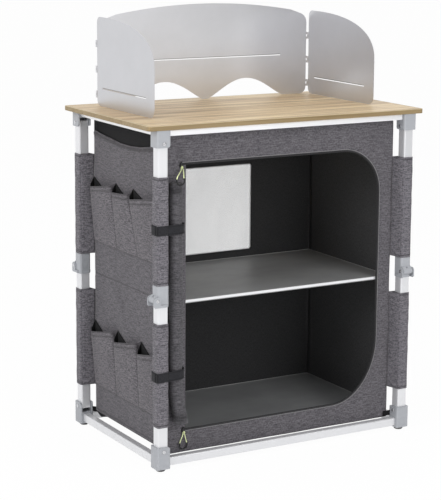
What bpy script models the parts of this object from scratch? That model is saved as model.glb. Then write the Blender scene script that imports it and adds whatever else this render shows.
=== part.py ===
"""Folding camp kitchen: a worktop with a three-leaf windshield, on four legs that break at the knee, with a
fabric cabinet hung inside the frame. Metres, +Z up, +Y to the rear, origin on the floor under the worktop's
middle."""

import math

import bmesh
import bpy
from mathutils import Matrix, Vector

# Worktop
WORKTOP_WIDTH = 0.820
WORKTOP_DEPTH = 0.490
WORKTOP_HEIGHT = 0.880
WORKTOP_THICKNESS = 0.012
WORKTOP_CORNER = 0.010
WORKTOP_EDGE = 0.004

# Legs: square tube, each one a lower and an upper half with a knee between them
LEG_INSET_X = 0.0425
LEG_INSET_Y = 0.0205
TUBE_SIDE = 0.028
TUBE_WALL = 0.0014
TUBE_CORNER = 0.0035

# Clearances
SEAT_GAP = 0.0003
SLIDE_GAP = 0.0004
PIN_GAP = 0.0004

# Corner brackets and the rails that plug into them
BRACKET_SIDE = 0.038
BRACKET_CORNER = 0.004
BRACKET_LIFT = 0.008
RAIL_WIDTH = 0.020
RAIL_WALL = 0.0015
RAIL_CORNER = 0.0025
SPIGOT_LENGTH = 0.016
BOTTOM_RAIL_LIFT = 0.0125
BOTTOM_RAIL_HEIGHT = 0.022
TOP_RAIL_HEIGHT = 0.016
FOLDED_CLEARANCE = 0.005
TOP_FOLDED_CLEARANCE = 0.0025
BOTTOM_CHEEK_REACH = 0.0115
TOP_CHEEK_REACH = 0.0095
CHEEK_ROUND = 0.009
PIN_RADIUS = 0.003
RIVET_RADIUS = 0.005
RIVET_HEIGHT = 0.0012

# Feet
FOOT_RADIUS = 0.012
FOOT_CHAMFER = 0.002

# Knee: the pin stands outside the tube, so the straight leg locks past its dead centre
KNEE_OFFSET = 0.018
KNEE_DROP = 0.011
COLLAR_WALL = 0.0017
LOWER_COLLAR_HEIGHT = 0.007
UPPER_COLLAR_HEIGHT = 0.0355
KNEE_CHEEK = 0.003
KNEE_CHEEK_RADIUS = 0.0095
CHEEK_TAIL = 0.006
KNEE_BOSS_RADIUS = 0.009
KNEE_GROOVE = 0.004
LATCH_WIDTH = 0.012
LATCH_HEIGHT = 0.022
LATCH_DEPTH = 0.0009

# Fabric sleeves round the leg halves, each clear of its pivot and of the knee
SLEEVE_WALL = 0.0015
SLEEVE_OFF_LOWER_PIVOT = 0.0615
SLEEVE_UNDER_KNEE = 0.0495
SLEEVE_OVER_KNEE = 0.0362
SLEEVE_OFF_UPPER_PIVOT = 0.0823

# Cabinet, hung from the worktop's underside down to its hem
CABINET_GAP = 0.011
HEM_GAP = 0.0085
FABRIC_THICKNESS = 0.003
MIDDLE_SHELF_UNDER_KNEE = 0.0175
BOTTOM_SHELF_OVER_HEM = 0.014
SHELF_THICKNESS = 0.004
SHELF_LIP = 0.008
SHELF_LIP_WIDTH = 0.006
SHELF_CORNER = 0.006

# Pockets on the side panels, three in each of two rows, each row one strip stitched along its bottom
POCKET_DEPTH = 0.016
POCKET_HEIGHT = 0.157
POCKET_SIDE = 0.035
UPPER_POCKET_DROP = 0.190
LOWER_POCKET_RISE = 0.076

# Opening in the front of the cabinet
OPENING_LEFT_MARGIN = 0.0275
OPENING_RIGHT_MARGIN = 0.0445
OPENING_TOP_MARGIN = 0.0927
OPENING_BOTTOM_MARGIN = 0.0485
OPENING_TOP_CORNER = 0.112
OPENING_BOTTOM_CORNER_X = 0.090
OPENING_BOTTOM_CORNER_Z = 0.150

# Mesh window in the back of the cabinet
WINDOW_HALF_WIDTH = 0.143
WINDOW_DROP = 0.177
WINDOW_HEIGHT = 0.242
WINDOW_CORNER = 0.004
MESH_OVERLAP = 0.008
MESH_THICKNESS = 0.0008

# Rolled door and the straps that tie it to the left front leg
ROLL_OFF_LEG = 0.044
ROLL_RADIUS = 0.0185
ROLL_BOTTOM_MARGIN = 0.025
ROLL_TOP_MARGIN = 0.040
STRAP_WALL = 0.0015
STRAP_HEIGHT = 0.030
UPPER_STRAP_DROP = 0.1357
LOWER_STRAP_RISE = 0.1134

# Zip sliders with their pulls
UPPER_ZIP_MARGIN = 0.023
LOWER_ZIP_MARGIN = 0.032
SLIDER_WIDTH = 0.009
SLIDER_HEIGHT = 0.014
SLIDER_DEPTH = 0.004
CORD_RADIUS = 0.0011
PULL_LENGTH = 0.020
PULL_LOOP_RADIUS = 0.0125
PULL_LOOP_WIRE = 0.0018

# Windshield: a back leaf and two wings of sheet metal
SHIELD_THICKNESS = 0.0012
SHIELD_INSET_X = 0.0835
SHIELD_INSET_Y = 0.0360
SHIELD_MID_HEIGHT = 0.261
SHIELD_END_HEIGHT = 0.228
SHIELD_TOP_CORNER = 0.028
SHIELD_BOTTOM_CORNER = 0.019
ARCH_START = 0.008
ARCH_MARGIN = 0.079
ARCH_HEIGHT = 0.052
BACK_SLOT_Z = 0.112
BACK_SLOT_MARGIN = 0.0855
WING_MARGIN = 0.0015
WING_REAR_HEIGHT = 0.235
WING_FRONT_HEIGHT = 0.120
WING_REAR_CORNER = 0.016
WING_CORNER = 0.022
WING_SLOT_Z = 0.047
WING_SLOT_START = 0.031
WING_SLOT_END = 0.280
SLOT_HEIGHT = 0.0025
HINGE_HEIGHTS = (0.030, 0.096, 0.1635)
HINGE_REACH = 0.0045
HINGE_STEP = 0.0025
KNUCKLE_RADIUS = 0.0028
KNUCKLE_PIN = 0.0013
KNUCKLE_HEIGHT = 0.006

# Derived places
LEG_X = WORKTOP_WIDTH / 2 - LEG_INSET_X
LEG_Y = WORKTOP_DEPTH / 2 - LEG_INSET_Y
UNDERSIDE = WORKTOP_HEIGHT - WORKTOP_THICKNESS
TOP_RAIL_LOW = UNDERSIDE - TOP_RAIL_HEIGHT
BOTTOM_RAIL_TOP = BOTTOM_RAIL_LIFT + BOTTOM_RAIL_HEIGHT
SLOT_HALF = TUBE_SIDE / 2 + SLIDE_GAP
LOWER_PIVOT_Z = BOTTOM_RAIL_TOP + FOLDED_CLEARANCE + SLOT_HALF + 0.0001
UPPER_PIVOT_Z = TOP_RAIL_LOW - TOP_FOLDED_CLEARANCE - SLOT_HALF - 0.0001
KNEE_Z = (LOWER_PIVOT_Z + UPPER_PIVOT_Z) / 2
PARTING_Z = KNEE_Z - KNEE_DROP
COLLAR_HOLE = TUBE_SIDE + 2 * SEAT_GAP
COLLAR_SIDE = COLLAR_HOLE + 2 * COLLAR_WALL
KNEE_HALF = COLLAR_SIDE / 2 + SEAT_GAP + KNEE_CHEEK
LOWER_SLEEVE_BOTTOM = LOWER_PIVOT_Z + SLEEVE_OFF_LOWER_PIVOT
LOWER_SLEEVE_TOP = PARTING_Z - SLEEVE_UNDER_KNEE
UPPER_SLEEVE_BOTTOM = KNEE_Z + SLEEVE_OVER_KNEE
UPPER_SLEEVE_TOP = UPPER_PIVOT_Z - SLEEVE_OFF_UPPER_PIVOT
SLEEVE_SIDE = TUBE_SIDE + 2 * (SEAT_GAP + SLEEVE_WALL)
CABINET_X = LEG_X - TUBE_SIDE / 2 - CABINET_GAP
CABINET_Y = LEG_Y - TUBE_SIDE / 2 - CABINET_GAP
CABINET_BOTTOM = BOTTOM_RAIL_TOP + HEM_GAP
FABRIC_TOP = UNDERSIDE - SEAT_GAP
FRONT_FACE_Y = -(CABINET_Y + FABRIC_THICKNESS / 2)
MIDDLE_SHELF_TOP = KNEE_Z - MIDDLE_SHELF_UNDER_KNEE
BOTTOM_SHELF_TOP = CABINET_BOTTOM + BOTTOM_SHELF_OVER_HEM
UPPER_POCKET_TOP = FABRIC_TOP - UPPER_POCKET_DROP
LOWER_POCKET_TOP = CABINET_BOTTOM + LOWER_POCKET_RISE + POCKET_HEIGHT
OPENING_LEFT = OPENING_LEFT_MARGIN - CABINET_X
OPENING_RIGHT = CABINET_X - OPENING_RIGHT_MARGIN
OPENING_TOP = FABRIC_TOP - OPENING_TOP_MARGIN
OPENING_BOTTOM = CABINET_BOTTOM + OPENING_BOTTOM_MARGIN
WINDOW_TOP = FABRIC_TOP - WINDOW_DROP
WINDOW_MIDDLE = WINDOW_TOP - WINDOW_HEIGHT / 2
ROLL_BOTTOM = OPENING_BOTTOM + ROLL_BOTTOM_MARGIN
ROLL_TOP = OPENING_TOP - ROLL_TOP_MARGIN
ROLL_REACH = ROLL_RADIUS * 1.05 + SEAT_GAP
ROLL_X = ROLL_OFF_LEG - LEG_X
ROLL_Y = FRONT_FACE_Y - SEAT_GAP - STRAP_WALL - ROLL_REACH
UPPER_STRAP_Z = UPPER_SLEEVE_TOP - UPPER_STRAP_DROP
LOWER_STRAP_Z = LOWER_SLEEVE_BOTTOM + LOWER_STRAP_RISE
ZIP_X = OPENING_LEFT + UPPER_ZIP_MARGIN
LOWER_ZIP_X = OPENING_LEFT + LOWER_ZIP_MARGIN
SHIELD_BASE = WORKTOP_HEIGHT + SEAT_GAP
SHIELD_HALF_WIDTH = WORKTOP_WIDTH / 2 - SHIELD_INSET_X
SHIELD_Y = WORKTOP_DEPTH / 2 - SHIELD_INSET_Y
ARCH_END = SHIELD_HALF_WIDTH - ARCH_MARGIN
BACK_SLOT_HALF = SHIELD_HALF_WIDTH - BACK_SLOT_MARGIN
WING_LENGTH = SHIELD_HALF_WIDTH - WING_MARGIN
HINGE_X = SHIELD_HALF_WIDTH + HINGE_REACH
HINGE_Y = SHIELD_Y - HINGE_STEP

# Each leg is the same assembly, turned a quarter from the last, so it folds along its own side of the frame.
CORNERS = {
    "left_front": (-1, -1, 0),
    "right_front": (1, -1, 90),
    "right_rear": (1, 1, 180),
    "left_rear": (-1, 1, 270),
}

for old in list(bpy.data.objects):
    bpy.data.objects.remove(old)
parts = bpy.data.collections.new("camp_kitchen")
cutters = bpy.data.collections.new("cutters")
bpy.context.scene.collection.children.link(parts)
bpy.context.scene.collection.children.link(cutters)


def material(name, colour, roughness, metallic=0.0):
    """A Principled material, made once for each name."""
    found = bpy.data.materials.get(name)
    if found:
        return found
    made = bpy.data.materials.new(name)
    made.use_nodes = True
    shader = made.node_tree.nodes["Principled BSDF"]
    shader.inputs["Base Color"].default_value = (*colour, 1.0)
    shader.inputs["Roughness"].default_value = roughness
    shader.inputs["Metallic"].default_value = metallic
    return made


ALUMINIUM = material("satin aluminium", (0.82, 0.83, 0.85), 0.32, 1.0)
PLASTIC = material("grey plastic", (0.50, 0.51, 0.53), 0.45)
BAMBOO = material("bamboo", (0.62, 0.43, 0.23), 0.40)
SHEET = material("brushed sheet", (0.66, 0.67, 0.68), 0.30, 1.0)
RUBBER = material("foot rubber", (0.13, 0.13, 0.13), 0.80)
FABRIC = material("heather fabric", (0.14, 0.135, 0.145), 0.95)
SLEEVE = material("sleeve fabric", (0.075, 0.075, 0.08), 0.95)
LINING = material("black lining", (0.02, 0.02, 0.022), 0.90)
MESH = material("window mesh", (0.75, 0.76, 0.78), 0.70)
SHELF = material("shelf laminate", (0.12, 0.12, 0.125), 0.40)
PULL = material("pull rubber", (0.03, 0.03, 0.03), 0.60)


def tool(name, mesh):
    """An object in the cutters collection, hidden from renders."""
    made = bpy.data.objects.new(name, mesh)
    made.hide_render = True
    made.display_type = "WIRE"
    cutters.objects.link(made)
    return made


def evaluated_mesh(obj):
    """The object's mesh with its modifiers, with coincident points welded. The object is removed."""
    bpy.context.view_layer.update()
    graph = bpy.context.evaluated_depsgraph_get()
    mesh = bpy.data.meshes.new_from_object(obj.evaluated_get(graph))
    mesh.transform(obj.matrix_world)
    made = bmesh.new()
    made.from_mesh(mesh)
    bmesh.ops.remove_doubles(made, verts=made.verts, dist=0.00001)
    bmesh.ops.recalc_face_normals(made, faces=made.faces)
    made.to_mesh(mesh)
    made.free()
    bpy.data.objects.remove(obj)
    return mesh


def box(low, high):
    """A block between two corners."""
    made = bmesh.new()
    size = Vector(high) - Vector(low)
    middle = (Vector(high) + Vector(low)) / 2
    bmesh.ops.create_cube(made, size=1.0, matrix=Matrix.Translation(middle) @ Matrix.Diagonal((*size, 1.0)))
    mesh = bpy.data.meshes.new("box")
    made.to_mesh(mesh)
    made.free()
    return tool("box", mesh)


def rod(start, end, radius, segments=16):
    """A round bar between two points."""
    start = Vector(start)
    end = Vector(end)
    along = end - start
    turn = along.to_track_quat("Z", "Y").to_matrix().to_4x4()
    made = bmesh.new()
    bmesh.ops.create_cone(
        made,
        cap_ends=True,
        segments=segments,
        radius1=radius,
        radius2=radius,
        depth=along.length,
        matrix=Matrix.Translation((start + end) / 2) @ turn,
    )
    mesh = bpy.data.meshes.new("rod")
    made.to_mesh(mesh)
    made.free()
    return tool("rod", mesh)


def prism(outline, low, high, holes=(), along="Z"):
    """A flat outline filled between two levels: drawn in X and Y for Z, X and Z for Y, and Y and Z for X."""
    curve = bpy.data.curves.new("outline", "CURVE")
    curve.dimensions = "2D"
    curve.fill_mode = "BOTH"
    curve.extrude = (high - low) / 2
    for ring in (outline, *holes):
        spline = curve.splines.new("POLY")
        spline.points.add(len(ring) - 1)
        for point, (u, v) in zip(spline.points, ring):
            point.co = (u, v, 0, 1)
        spline.use_cyclic_u = True
    made = bpy.data.objects.new("outline", curve)
    cutters.objects.link(made)
    middle = (low + high) / 2
    if along == "Z":
        made.matrix_world = Matrix.Translation((0, 0, middle))
    elif along == "Y":
        made.matrix_world = Matrix.Translation((0, middle, 0)) @ Matrix.Rotation(math.pi / 2, 4, "X")
    else:
        upright = Matrix(((0, 0, 1, 0), (1, 0, 0, 0), (0, 1, 0, 0), (0, 0, 0, 1)))
        made.matrix_world = Matrix.Translation((middle, 0, 0)) @ upright
    mesh = evaluated_mesh(made)
    bpy.data.curves.remove(curve)
    return tool("prism", mesh)


def combined(base, add=(), cut=()):
    """The base with pieces joined to it and then others cut from it. All of them are used up."""
    for other, operation in [(o, "UNION") for o in add] + [(o, "DIFFERENCE") for o in cut]:
        step = base.modifiers.new(operation.lower(), "BOOLEAN")
        step.operation = operation
        step.solver = "EXACT"
        step.object = other
    mesh = evaluated_mesh(base)
    for other in (*add, *cut):
        bpy.data.objects.remove(other)
    return tool("combined", mesh)


def arc(centre, radius, start, end, steps):
    """Points round a centre, from one angle in degrees to another."""
    out = []
    for i in range(steps + 1):
        angle = math.radians(start + (end - start) * i / steps)
        out.append((centre[0] + radius * math.cos(angle), centre[1] + radius * math.sin(angle)))
    return out


def rounded_rectangle(width, depth, corner, steps=2, middle=(0.0, 0.0)):
    """The outline of a rectangle with round corners, anticlockwise from its right side."""
    out = []
    for sx, sy, start in ((1, 1, 0), (-1, 1, 90), (-1, -1, 180), (1, -1, 270)):
        centre = (middle[0] + sx * (width / 2 - corner), middle[1] + sy * (depth / 2 - corner))
        out += arc(centre, corner, start, start + 90, steps)
    return out


def finished(name, obj, look, origin=(0.0, 0.0, 0.0), smooth=35):
    """Moves a made piece into the parts collection under its own name, with its origin at a given point."""
    mesh = obj.data
    bpy.data.objects.remove(obj)
    mesh.transform(Matrix.Translation(-Vector(origin)))
    mesh.name = name
    mesh.materials.clear()
    mesh.materials.append(look)
    mesh.shade_smooth()
    mesh.set_sharp_from_angle(angle=math.radians(smooth))
    made = bpy.data.objects.new(name, mesh)
    made.location = origin
    parts.objects.link(made)
    return made


def pinwheel(kind, obj, look, origin):
    """One copy for each leg of a piece made about the leg's centre line, with its origin on its own joint."""
    mesh = obj.data
    bpy.data.objects.remove(obj)
    mesh.transform(Matrix.Translation(-Vector(origin)))
    mesh.name = kind
    mesh.materials.clear()
    mesh.materials.append(look)
    mesh.shade_smooth()
    mesh.set_sharp_from_angle(angle=math.radians(35))
    for corner, (side, depth, turn) in CORNERS.items():
        made = bpy.data.objects.new(f"{corner}_{kind}", mesh)
        turned = Matrix.Rotation(math.radians(turn), 4, "Z")
        made.location = Vector((side * LEG_X, depth * LEG_Y, 0)) + turned @ Vector(origin)
        made.rotation_euler = (0, 0, math.radians(turn))
        parts.objects.link(made)


def bracket(low, high, pivot_z, slot_end, rail_low, rail_high, above):
    """A corner block with a slot for the leg, open along +X and away from the rails, a rivet across the slot
    and a spigot for each of the two rails that meet there."""
    half = BRACKET_SIDE / 2
    side = 1 if above else -1
    far = high if above else low
    body = prism(rounded_rectangle(BRACKET_SIDE, BRACKET_SIDE, BRACKET_CORNER), low, high)
    slot_low, slot_high = (slot_end, high + 0.01) if above else (low - 0.01, slot_end)
    slot = box((-SLOT_HALF, -SLOT_HALF, slot_low), (half + 0.01, SLOT_HALF, slot_high))
    corner = [(half - CHEEK_ROUND, far + side * 0.002), (half + 0.002, far + side * 0.002)]
    corner.append((half + 0.002, far - side * CHEEK_ROUND))
    start, end = (0, 90) if above else (0, -90)
    corner += arc((half - CHEEK_ROUND, far - side * CHEEK_ROUND), CHEEK_ROUND, start, end, 4)
    rounding = prism(corner, -half - 0.01, half + 0.01, along="Y")
    body = combined(body, cut=[slot, rounding])
    inset = RAIL_WALL + SEAT_GAP
    middle = (rail_low + rail_high) / 2
    wide = RAIL_WIDTH - 2 * inset
    tall = rail_high - rail_low - 2 * inset
    spigot = rounded_rectangle(wide, tall, 0.001, 1, (0, middle))
    along_x = prism(spigot, half - 0.002, half + SPIGOT_LENGTH, along="X")
    along_y = prism(spigot, half - 0.002, half + SPIGOT_LENGTH, along="Y")
    reach = half + RIVET_HEIGHT
    pin = rod((0, -reach, pivot_z), (0, reach, pivot_z), PIN_RADIUS)
    heads = [rod((0, s * (half - 0.001), pivot_z), (0, s * reach, pivot_z), RIVET_RADIUS) for s in (-1, 1)]
    return combined(body, add=[along_x, along_y, pin, *heads])


# Corner brackets: the lower ones stand on the feet, and the upper ones carry the worktop.
lower_bracket = bracket(
    BRACKET_LIFT,
    LOWER_PIVOT_Z + BOTTOM_CHEEK_REACH,
    LOWER_PIVOT_Z,
    LOWER_PIVOT_Z - SLOT_HALF - 0.0001,
    BOTTOM_RAIL_LIFT,
    BOTTOM_RAIL_TOP,
    True,
)
pinwheel("lower_bracket", lower_bracket, PLASTIC, (0, 0, LOWER_PIVOT_Z))
upper_bracket = bracket(
    UPPER_PIVOT_Z - TOP_CHEEK_REACH,
    UNDERSIDE - SEAT_GAP,
    UPPER_PIVOT_Z,
    UPPER_PIVOT_Z + SLOT_HALF + 0.0001,
    TOP_RAIL_LOW,
    UNDERSIDE - SEAT_GAP,
    False,
)
pinwheel("upper_bracket", upper_bracket, PLASTIC, (0, 0, UPPER_PIVOT_Z))

# Feet: turned rubber pads under the lower brackets.
profile = bpy.data.meshes.new("foot profile")
made = bmesh.new()
foot_top = BRACKET_LIFT - SEAT_GAP
ring = [(0, foot_top), (FOOT_RADIUS, foot_top), (FOOT_RADIUS, FOOT_CHAMFER)]
ring += [(FOOT_RADIUS - FOOT_CHAMFER, 0), (0, 0)]
points = [made.verts.new((r, 0, z)) for r, z in ring]
for a, b in zip(points, points[1:]):
    made.edges.new((a, b))
made.to_mesh(profile)
made.free()
foot = tool("foot", profile)
turning = foot.modifiers.new("turning", "SCREW")
turning.steps = 20
turning.render_steps = 20
turning.use_merge_vertices = True
turning.merge_threshold = 0.00001
foot = tool("foot", evaluated_mesh(foot))
pinwheel("foot", foot, RUBBER, (0, 0, 0))

# Rails: hollow bars over the brackets' spigots.
rail_levels = (("bottom", BOTTOM_RAIL_LIFT, BOTTOM_RAIL_TOP), ("top", TOP_RAIL_LOW, UNDERSIDE - SEAT_GAP))
for level, low, high in rail_levels:
    middle = (low + high) / 2
    outer = rounded_rectangle(RAIL_WIDTH, high - low, RAIL_CORNER, 2, (0, middle))
    bore_height = high - low - 2 * RAIL_WALL
    inner = rounded_rectangle(RAIL_WIDTH - 2 * RAIL_WALL, bore_height, 0.001, 1, (0, middle))
    reach_x = LEG_X - BRACKET_SIDE / 2 - SEAT_GAP
    reach_y = LEG_Y - BRACKET_SIDE / 2 - SEAT_GAP
    for side, y in (("front", -LEG_Y), ("rear", LEG_Y)):
        rail = prism(outer, -reach_x, reach_x, holes=[inner], along="X")
        rail.data.transform(Matrix.Translation((0, y, 0)))
        finished(f"{side}_{level}_rail", rail, ALUMINIUM, (0, y, middle))
    for side, x in (("left", -LEG_X), ("right", LEG_X)):
        rail = prism(outer, -reach_y, reach_y, holes=[inner], along="Y")
        rail.data.transform(Matrix.Translation((x, 0, 0)))
        finished(f"{side}_{level}_rail", rail, ALUMINIUM, (x, 0, middle))

# Leg tubes: the end at the bracket is rounded about its pin, so it turns inside the slot.
tube_outer = rounded_rectangle(TUBE_SIDE, TUBE_SIDE, TUBE_CORNER)
bore_side = TUBE_SIDE - 2 * TUBE_WALL
tube_inner = rounded_rectangle(bore_side, bore_side, TUBE_CORNER - TUBE_WALL, 1)


def leg_tube(low, high, pivot_z, end_below):
    """A leg half with a round end and a pin hole."""
    tube = prism(tube_outer, low, high, holes=[tube_inner])
    side = -1 if end_below else 1
    reach = TUBE_SIDE / 2 + 0.002
    nose = TUBE_SIDE / 2 - 0.0002
    start, end = (180, 360) if end_below else (180, 0)
    waste = arc((0, pivot_z), nose, start, end, 12)
    waste += [(reach, pivot_z), (reach, pivot_z + side * reach)]
    waste += [(-reach, pivot_z + side * reach), (-reach, pivot_z)]
    rounding = prism(waste, -reach, reach, along="Y")
    hole = rod((0, -reach, pivot_z), (0, reach, pivot_z), PIN_RADIUS + PIN_GAP)
    return combined(tube, cut=[rounding, hole])


lower_tube = leg_tube(LOWER_PIVOT_Z - TUBE_SIDE / 2, PARTING_Z - SEAT_GAP / 2, LOWER_PIVOT_Z, True)
pinwheel("lower_leg", lower_tube, ALUMINIUM, (0, 0, LOWER_PIVOT_Z))
upper_tube = leg_tube(PARTING_Z + SEAT_GAP / 2, UPPER_PIVOT_Z + TUBE_SIDE / 2, UPPER_PIVOT_Z, False)
pinwheel("upper_leg", upper_tube, ALUMINIUM, (-KNEE_OFFSET, 0, KNEE_Z))

# Lower knee: a collar on the tube, with a cheek fixed to each side of it and the pin across them. Nothing
# stands between the cheeks, because the upper collar swings down there.
collar_outline = rounded_rectangle(COLLAR_SIDE, COLLAR_SIDE, TUBE_CORNER + COLLAR_WALL)
collar_hole = rounded_rectangle(COLLAR_HOLE, COLLAR_HOLE, TUBE_CORNER)
collar_low = PARTING_Z - LOWER_COLLAR_HEIGHT
collar_high = PARTING_Z - SEAT_GAP / 2
collar = prism(collar_outline, collar_low, collar_high, holes=[collar_hole])
cheek_outline = [(CHEEK_TAIL, collar_low + 0.0005), (CHEEK_TAIL, collar_high - 0.0001)]
cheek_outline.append((-KNEE_OFFSET + KNEE_CHEEK_RADIUS, collar_high - 0.0001))
cheek_outline += arc((-KNEE_OFFSET, KNEE_Z), KNEE_CHEEK_RADIUS, 0, 180, 12)
cheek_outline.append((-KNEE_OFFSET - KNEE_CHEEK_RADIUS, collar_low + 0.0035))
cheek_outline.append((-KNEE_OFFSET - KNEE_CHEEK_RADIUS + 0.003, collar_low + 0.0005))
cheek_middle = KNEE_HALF - KNEE_CHEEK / 2
cheeks = [
    prism(cheek_outline, s * cheek_middle - KNEE_CHEEK / 2, s * cheek_middle + KNEE_CHEEK / 2, along="Y")
    for s in (-1, 1)
]
bridges = []
heads = []
for s in (-1, 1):
    near, far = sorted((s * (COLLAR_SIDE / 2 - 0.001), s * (KNEE_HALF - KNEE_CHEEK + 0.0005)))
    bridges.append(box((-0.009, near, collar_low + 0.0008), (CHEEK_TAIL - 0.0005, far, collar_high - 0.0004)))
    inner_end = (-KNEE_OFFSET, s * (KNEE_HALF - 0.001), KNEE_Z)
    heads.append(rod(inner_end, (-KNEE_OFFSET, s * (KNEE_HALF + RIVET_HEIGHT), KNEE_Z), 0.0045))
reach = KNEE_HALF + 0.0008
pin = rod((-KNEE_OFFSET, -reach, KNEE_Z), (-KNEE_OFFSET, reach, KNEE_Z), PIN_RADIUS)
lower_knee = combined(collar, add=[*cheeks, *bridges, pin, *heads])
pinwheel("lower_knee", lower_knee, PLASTIC, (0, 0, LOWER_PIVOT_Z))

# Upper knee: a longer collar with the boss that turns between the cheeks, and a latch on its inner side. The
# boss steps in above the pin, where it passes the lower collar when the leg is folded.
high = KNEE_Z + UPPER_COLLAR_HEIGHT
step_x = COLLAR_SIDE / 2 - 2 * KNEE_OFFSET + 0.0005
collar = prism(collar_outline, PARTING_Z + SEAT_GAP / 2, high, holes=[collar_hole])
wall_x = -COLLAR_SIDE / 2 + 0.0006
boss_outline = [(wall_x, KNEE_Z - KNEE_BOSS_RADIUS)]
boss_outline += arc((-KNEE_OFFSET, KNEE_Z), KNEE_BOSS_RADIUS, 270, 120, 10)
boss_outline.append((step_x, KNEE_Z + KNEE_DROP - 0.0004))
boss_outline.append((wall_x, KNEE_Z + KNEE_DROP + 0.002))
boss_half = COLLAR_SIDE / 2 - 0.0015
boss = prism(boss_outline, -boss_half, boss_half, along="Y")
groove = box(
    (-KNEE_OFFSET - 0.02, -KNEE_GROOVE / 2, KNEE_Z + 0.0075),
    (-COLLAR_SIDE / 2 - 0.0008, KNEE_GROOVE / 2, high - 0.004),
)
bore = rod((-KNEE_OFFSET, -0.03, KNEE_Z), (-KNEE_OFFSET, 0.03, KNEE_Z), PIN_RADIUS + PIN_GAP)
latch_low = KNEE_Z - 0.004
recess = box(
    (COLLAR_SIDE / 2 - LATCH_DEPTH, -LATCH_WIDTH / 2, latch_low),
    (COLLAR_SIDE / 2 + 0.01, LATCH_WIDTH / 2, latch_low + LATCH_HEIGHT),
)
latch = box(
    (COLLAR_SIDE / 2 - LATCH_DEPTH - 0.0004, -LATCH_WIDTH / 2 + 0.002, latch_low + 0.002),
    (COLLAR_SIDE / 2 + 0.0006, LATCH_WIDTH / 2 - 0.002, latch_low + LATCH_HEIGHT - 0.005),
)
upper_knee = combined(collar, add=[boss], cut=[groove, bore, recess])
upper_knee = combined(upper_knee, add=[latch])
pinwheel("upper_knee", upper_knee, PLASTIC, (-KNEE_OFFSET, 0, KNEE_Z))

# Sleeves: fabric tubes that hold each leg half to the cabinet.
sleeve_outer = rounded_rectangle(SLEEVE_SIDE, SLEEVE_SIDE, TUBE_CORNER + SLEEVE_WALL)
sleeve_inner = rounded_rectangle(COLLAR_HOLE, COLLAR_HOLE, TUBE_CORNER)
sleeve = prism(sleeve_outer, LOWER_SLEEVE_BOTTOM, LOWER_SLEEVE_TOP, holes=[sleeve_inner])
pinwheel("lower_sleeve", sleeve, SLEEVE, (0, 0, LOWER_PIVOT_Z))
sleeve = prism(sleeve_outer, UPPER_SLEEVE_BOTTOM, UPPER_SLEEVE_TOP, holes=[sleeve_inner])
pinwheel("upper_sleeve", sleeve, SLEEVE, (-KNEE_OFFSET, 0, KNEE_Z))

# Worktop: a bamboo board with round corners and softened edges.
board = prism(
    rounded_rectangle(WORKTOP_WIDTH, WORKTOP_DEPTH, WORKTOP_CORNER, 4), UNDERSIDE, WORKTOP_HEIGHT
)
edges = board.modifiers.new("edges", "BEVEL")
edges.width = WORKTOP_EDGE
edges.segments = 2
edges.limit_method = "ANGLE"
edges.angle_limit = math.radians(60)
board = tool("board", evaluated_mesh(board))
finished("worktop", board, BAMBOO, (0, 0, UNDERSIDE))

# Shelves: thin boards with a deeper lip along the front and the rear.
shelf_x = CABINET_X - FABRIC_THICKNESS / 2 - SEAT_GAP
shelf_y = CABINET_Y - FABRIC_THICKNESS / 2 - SEAT_GAP
for name, top in (("middle_shelf", MIDDLE_SHELF_TOP), ("bottom_shelf", BOTTOM_SHELF_TOP)):
    sheet = prism(rounded_rectangle(2 * shelf_x, 2 * shelf_y, SHELF_CORNER), top - SHELF_THICKNESS, top)
    lips = [
        box(
            (-shelf_x + SHELF_CORNER, min(s * shelf_y, s * (shelf_y - SHELF_LIP_WIDTH)), top - SHELF_LIP),
            (shelf_x - SHELF_CORNER, max(s * shelf_y, s * (shelf_y - SHELF_LIP_WIDTH)), top - 0.0005),
        )
        for s in (-1, 1)
    ]
    finished(name, combined(sheet, add=lips), SHELF, (0, 0, top))


def cloth(columns, rows, place, thickness):
    """A grid laid on a surface that a function gives for 0 to 1 across and up, thickened to both sides."""
    made = bmesh.new()
    bmesh.ops.create_grid(made, x_segments=columns, y_segments=rows, size=0.5)
    for vertex in made.verts:
        vertex.co = place(vertex.co.x + 0.5, vertex.co.y + 0.5)
    bmesh.ops.triangulate(made, faces=made.faces)
    mesh = bpy.data.meshes.new("cloth")
    made.to_mesh(mesh)
    made.free()
    panel = tool("cloth", mesh)
    thick = panel.modifiers.new("thick", "SOLIDIFY")
    thick.thickness = thickness
    thick.offset = 0
    return tool("cloth", evaluated_mesh(panel))


def bump(value, low, high, soft):
    """1 between two levels, falling to 0 over a soft distance inside each of them."""
    t = min((value - low) / soft, (high - value) / soft)
    t = max(0.0, min(1.0, t))
    return t * t * (3 - 2 * t)


# Side panels: each carries two rows of three pockets, flat along the bottom and standing open at the top.
side_half = CABINET_Y - FABRIC_THICKNESS / 2 - SEAT_GAP


def pockets(y, z):
    """How far the pockets stand out at a point of a side panel."""
    width = 2 * side_half / 3
    across = (y + side_half) % width
    out = 0.0
    for high in (UPPER_POCKET_TOP, LOWER_POCKET_TOP):
        rise = max(0.0, min(1.0, (z - high) / POCKET_HEIGHT + 1))
        mouth = bump(z, high - 2 * POCKET_HEIGHT, high + 0.016, 0.018)
        out += POCKET_DEPTH * rise * mouth * bump(across, 0.0, width, POCKET_SIDE)
    return out


for name, side in (("left_panel", -1), ("right_panel", 1)):

    def place(u, v, side=side):
        y = -side_half + 2 * side_half * u
        z = CABINET_BOTTOM + (FABRIC_TOP - CABINET_BOTTOM) * v
        return Vector((side * (CABINET_X + pockets(y, z)), y, z))

    panel = cloth(18, 34, place, FABRIC_THICKNESS)
    finished(name, panel, FABRIC, (0, 0, FABRIC_TOP), 50)

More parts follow.
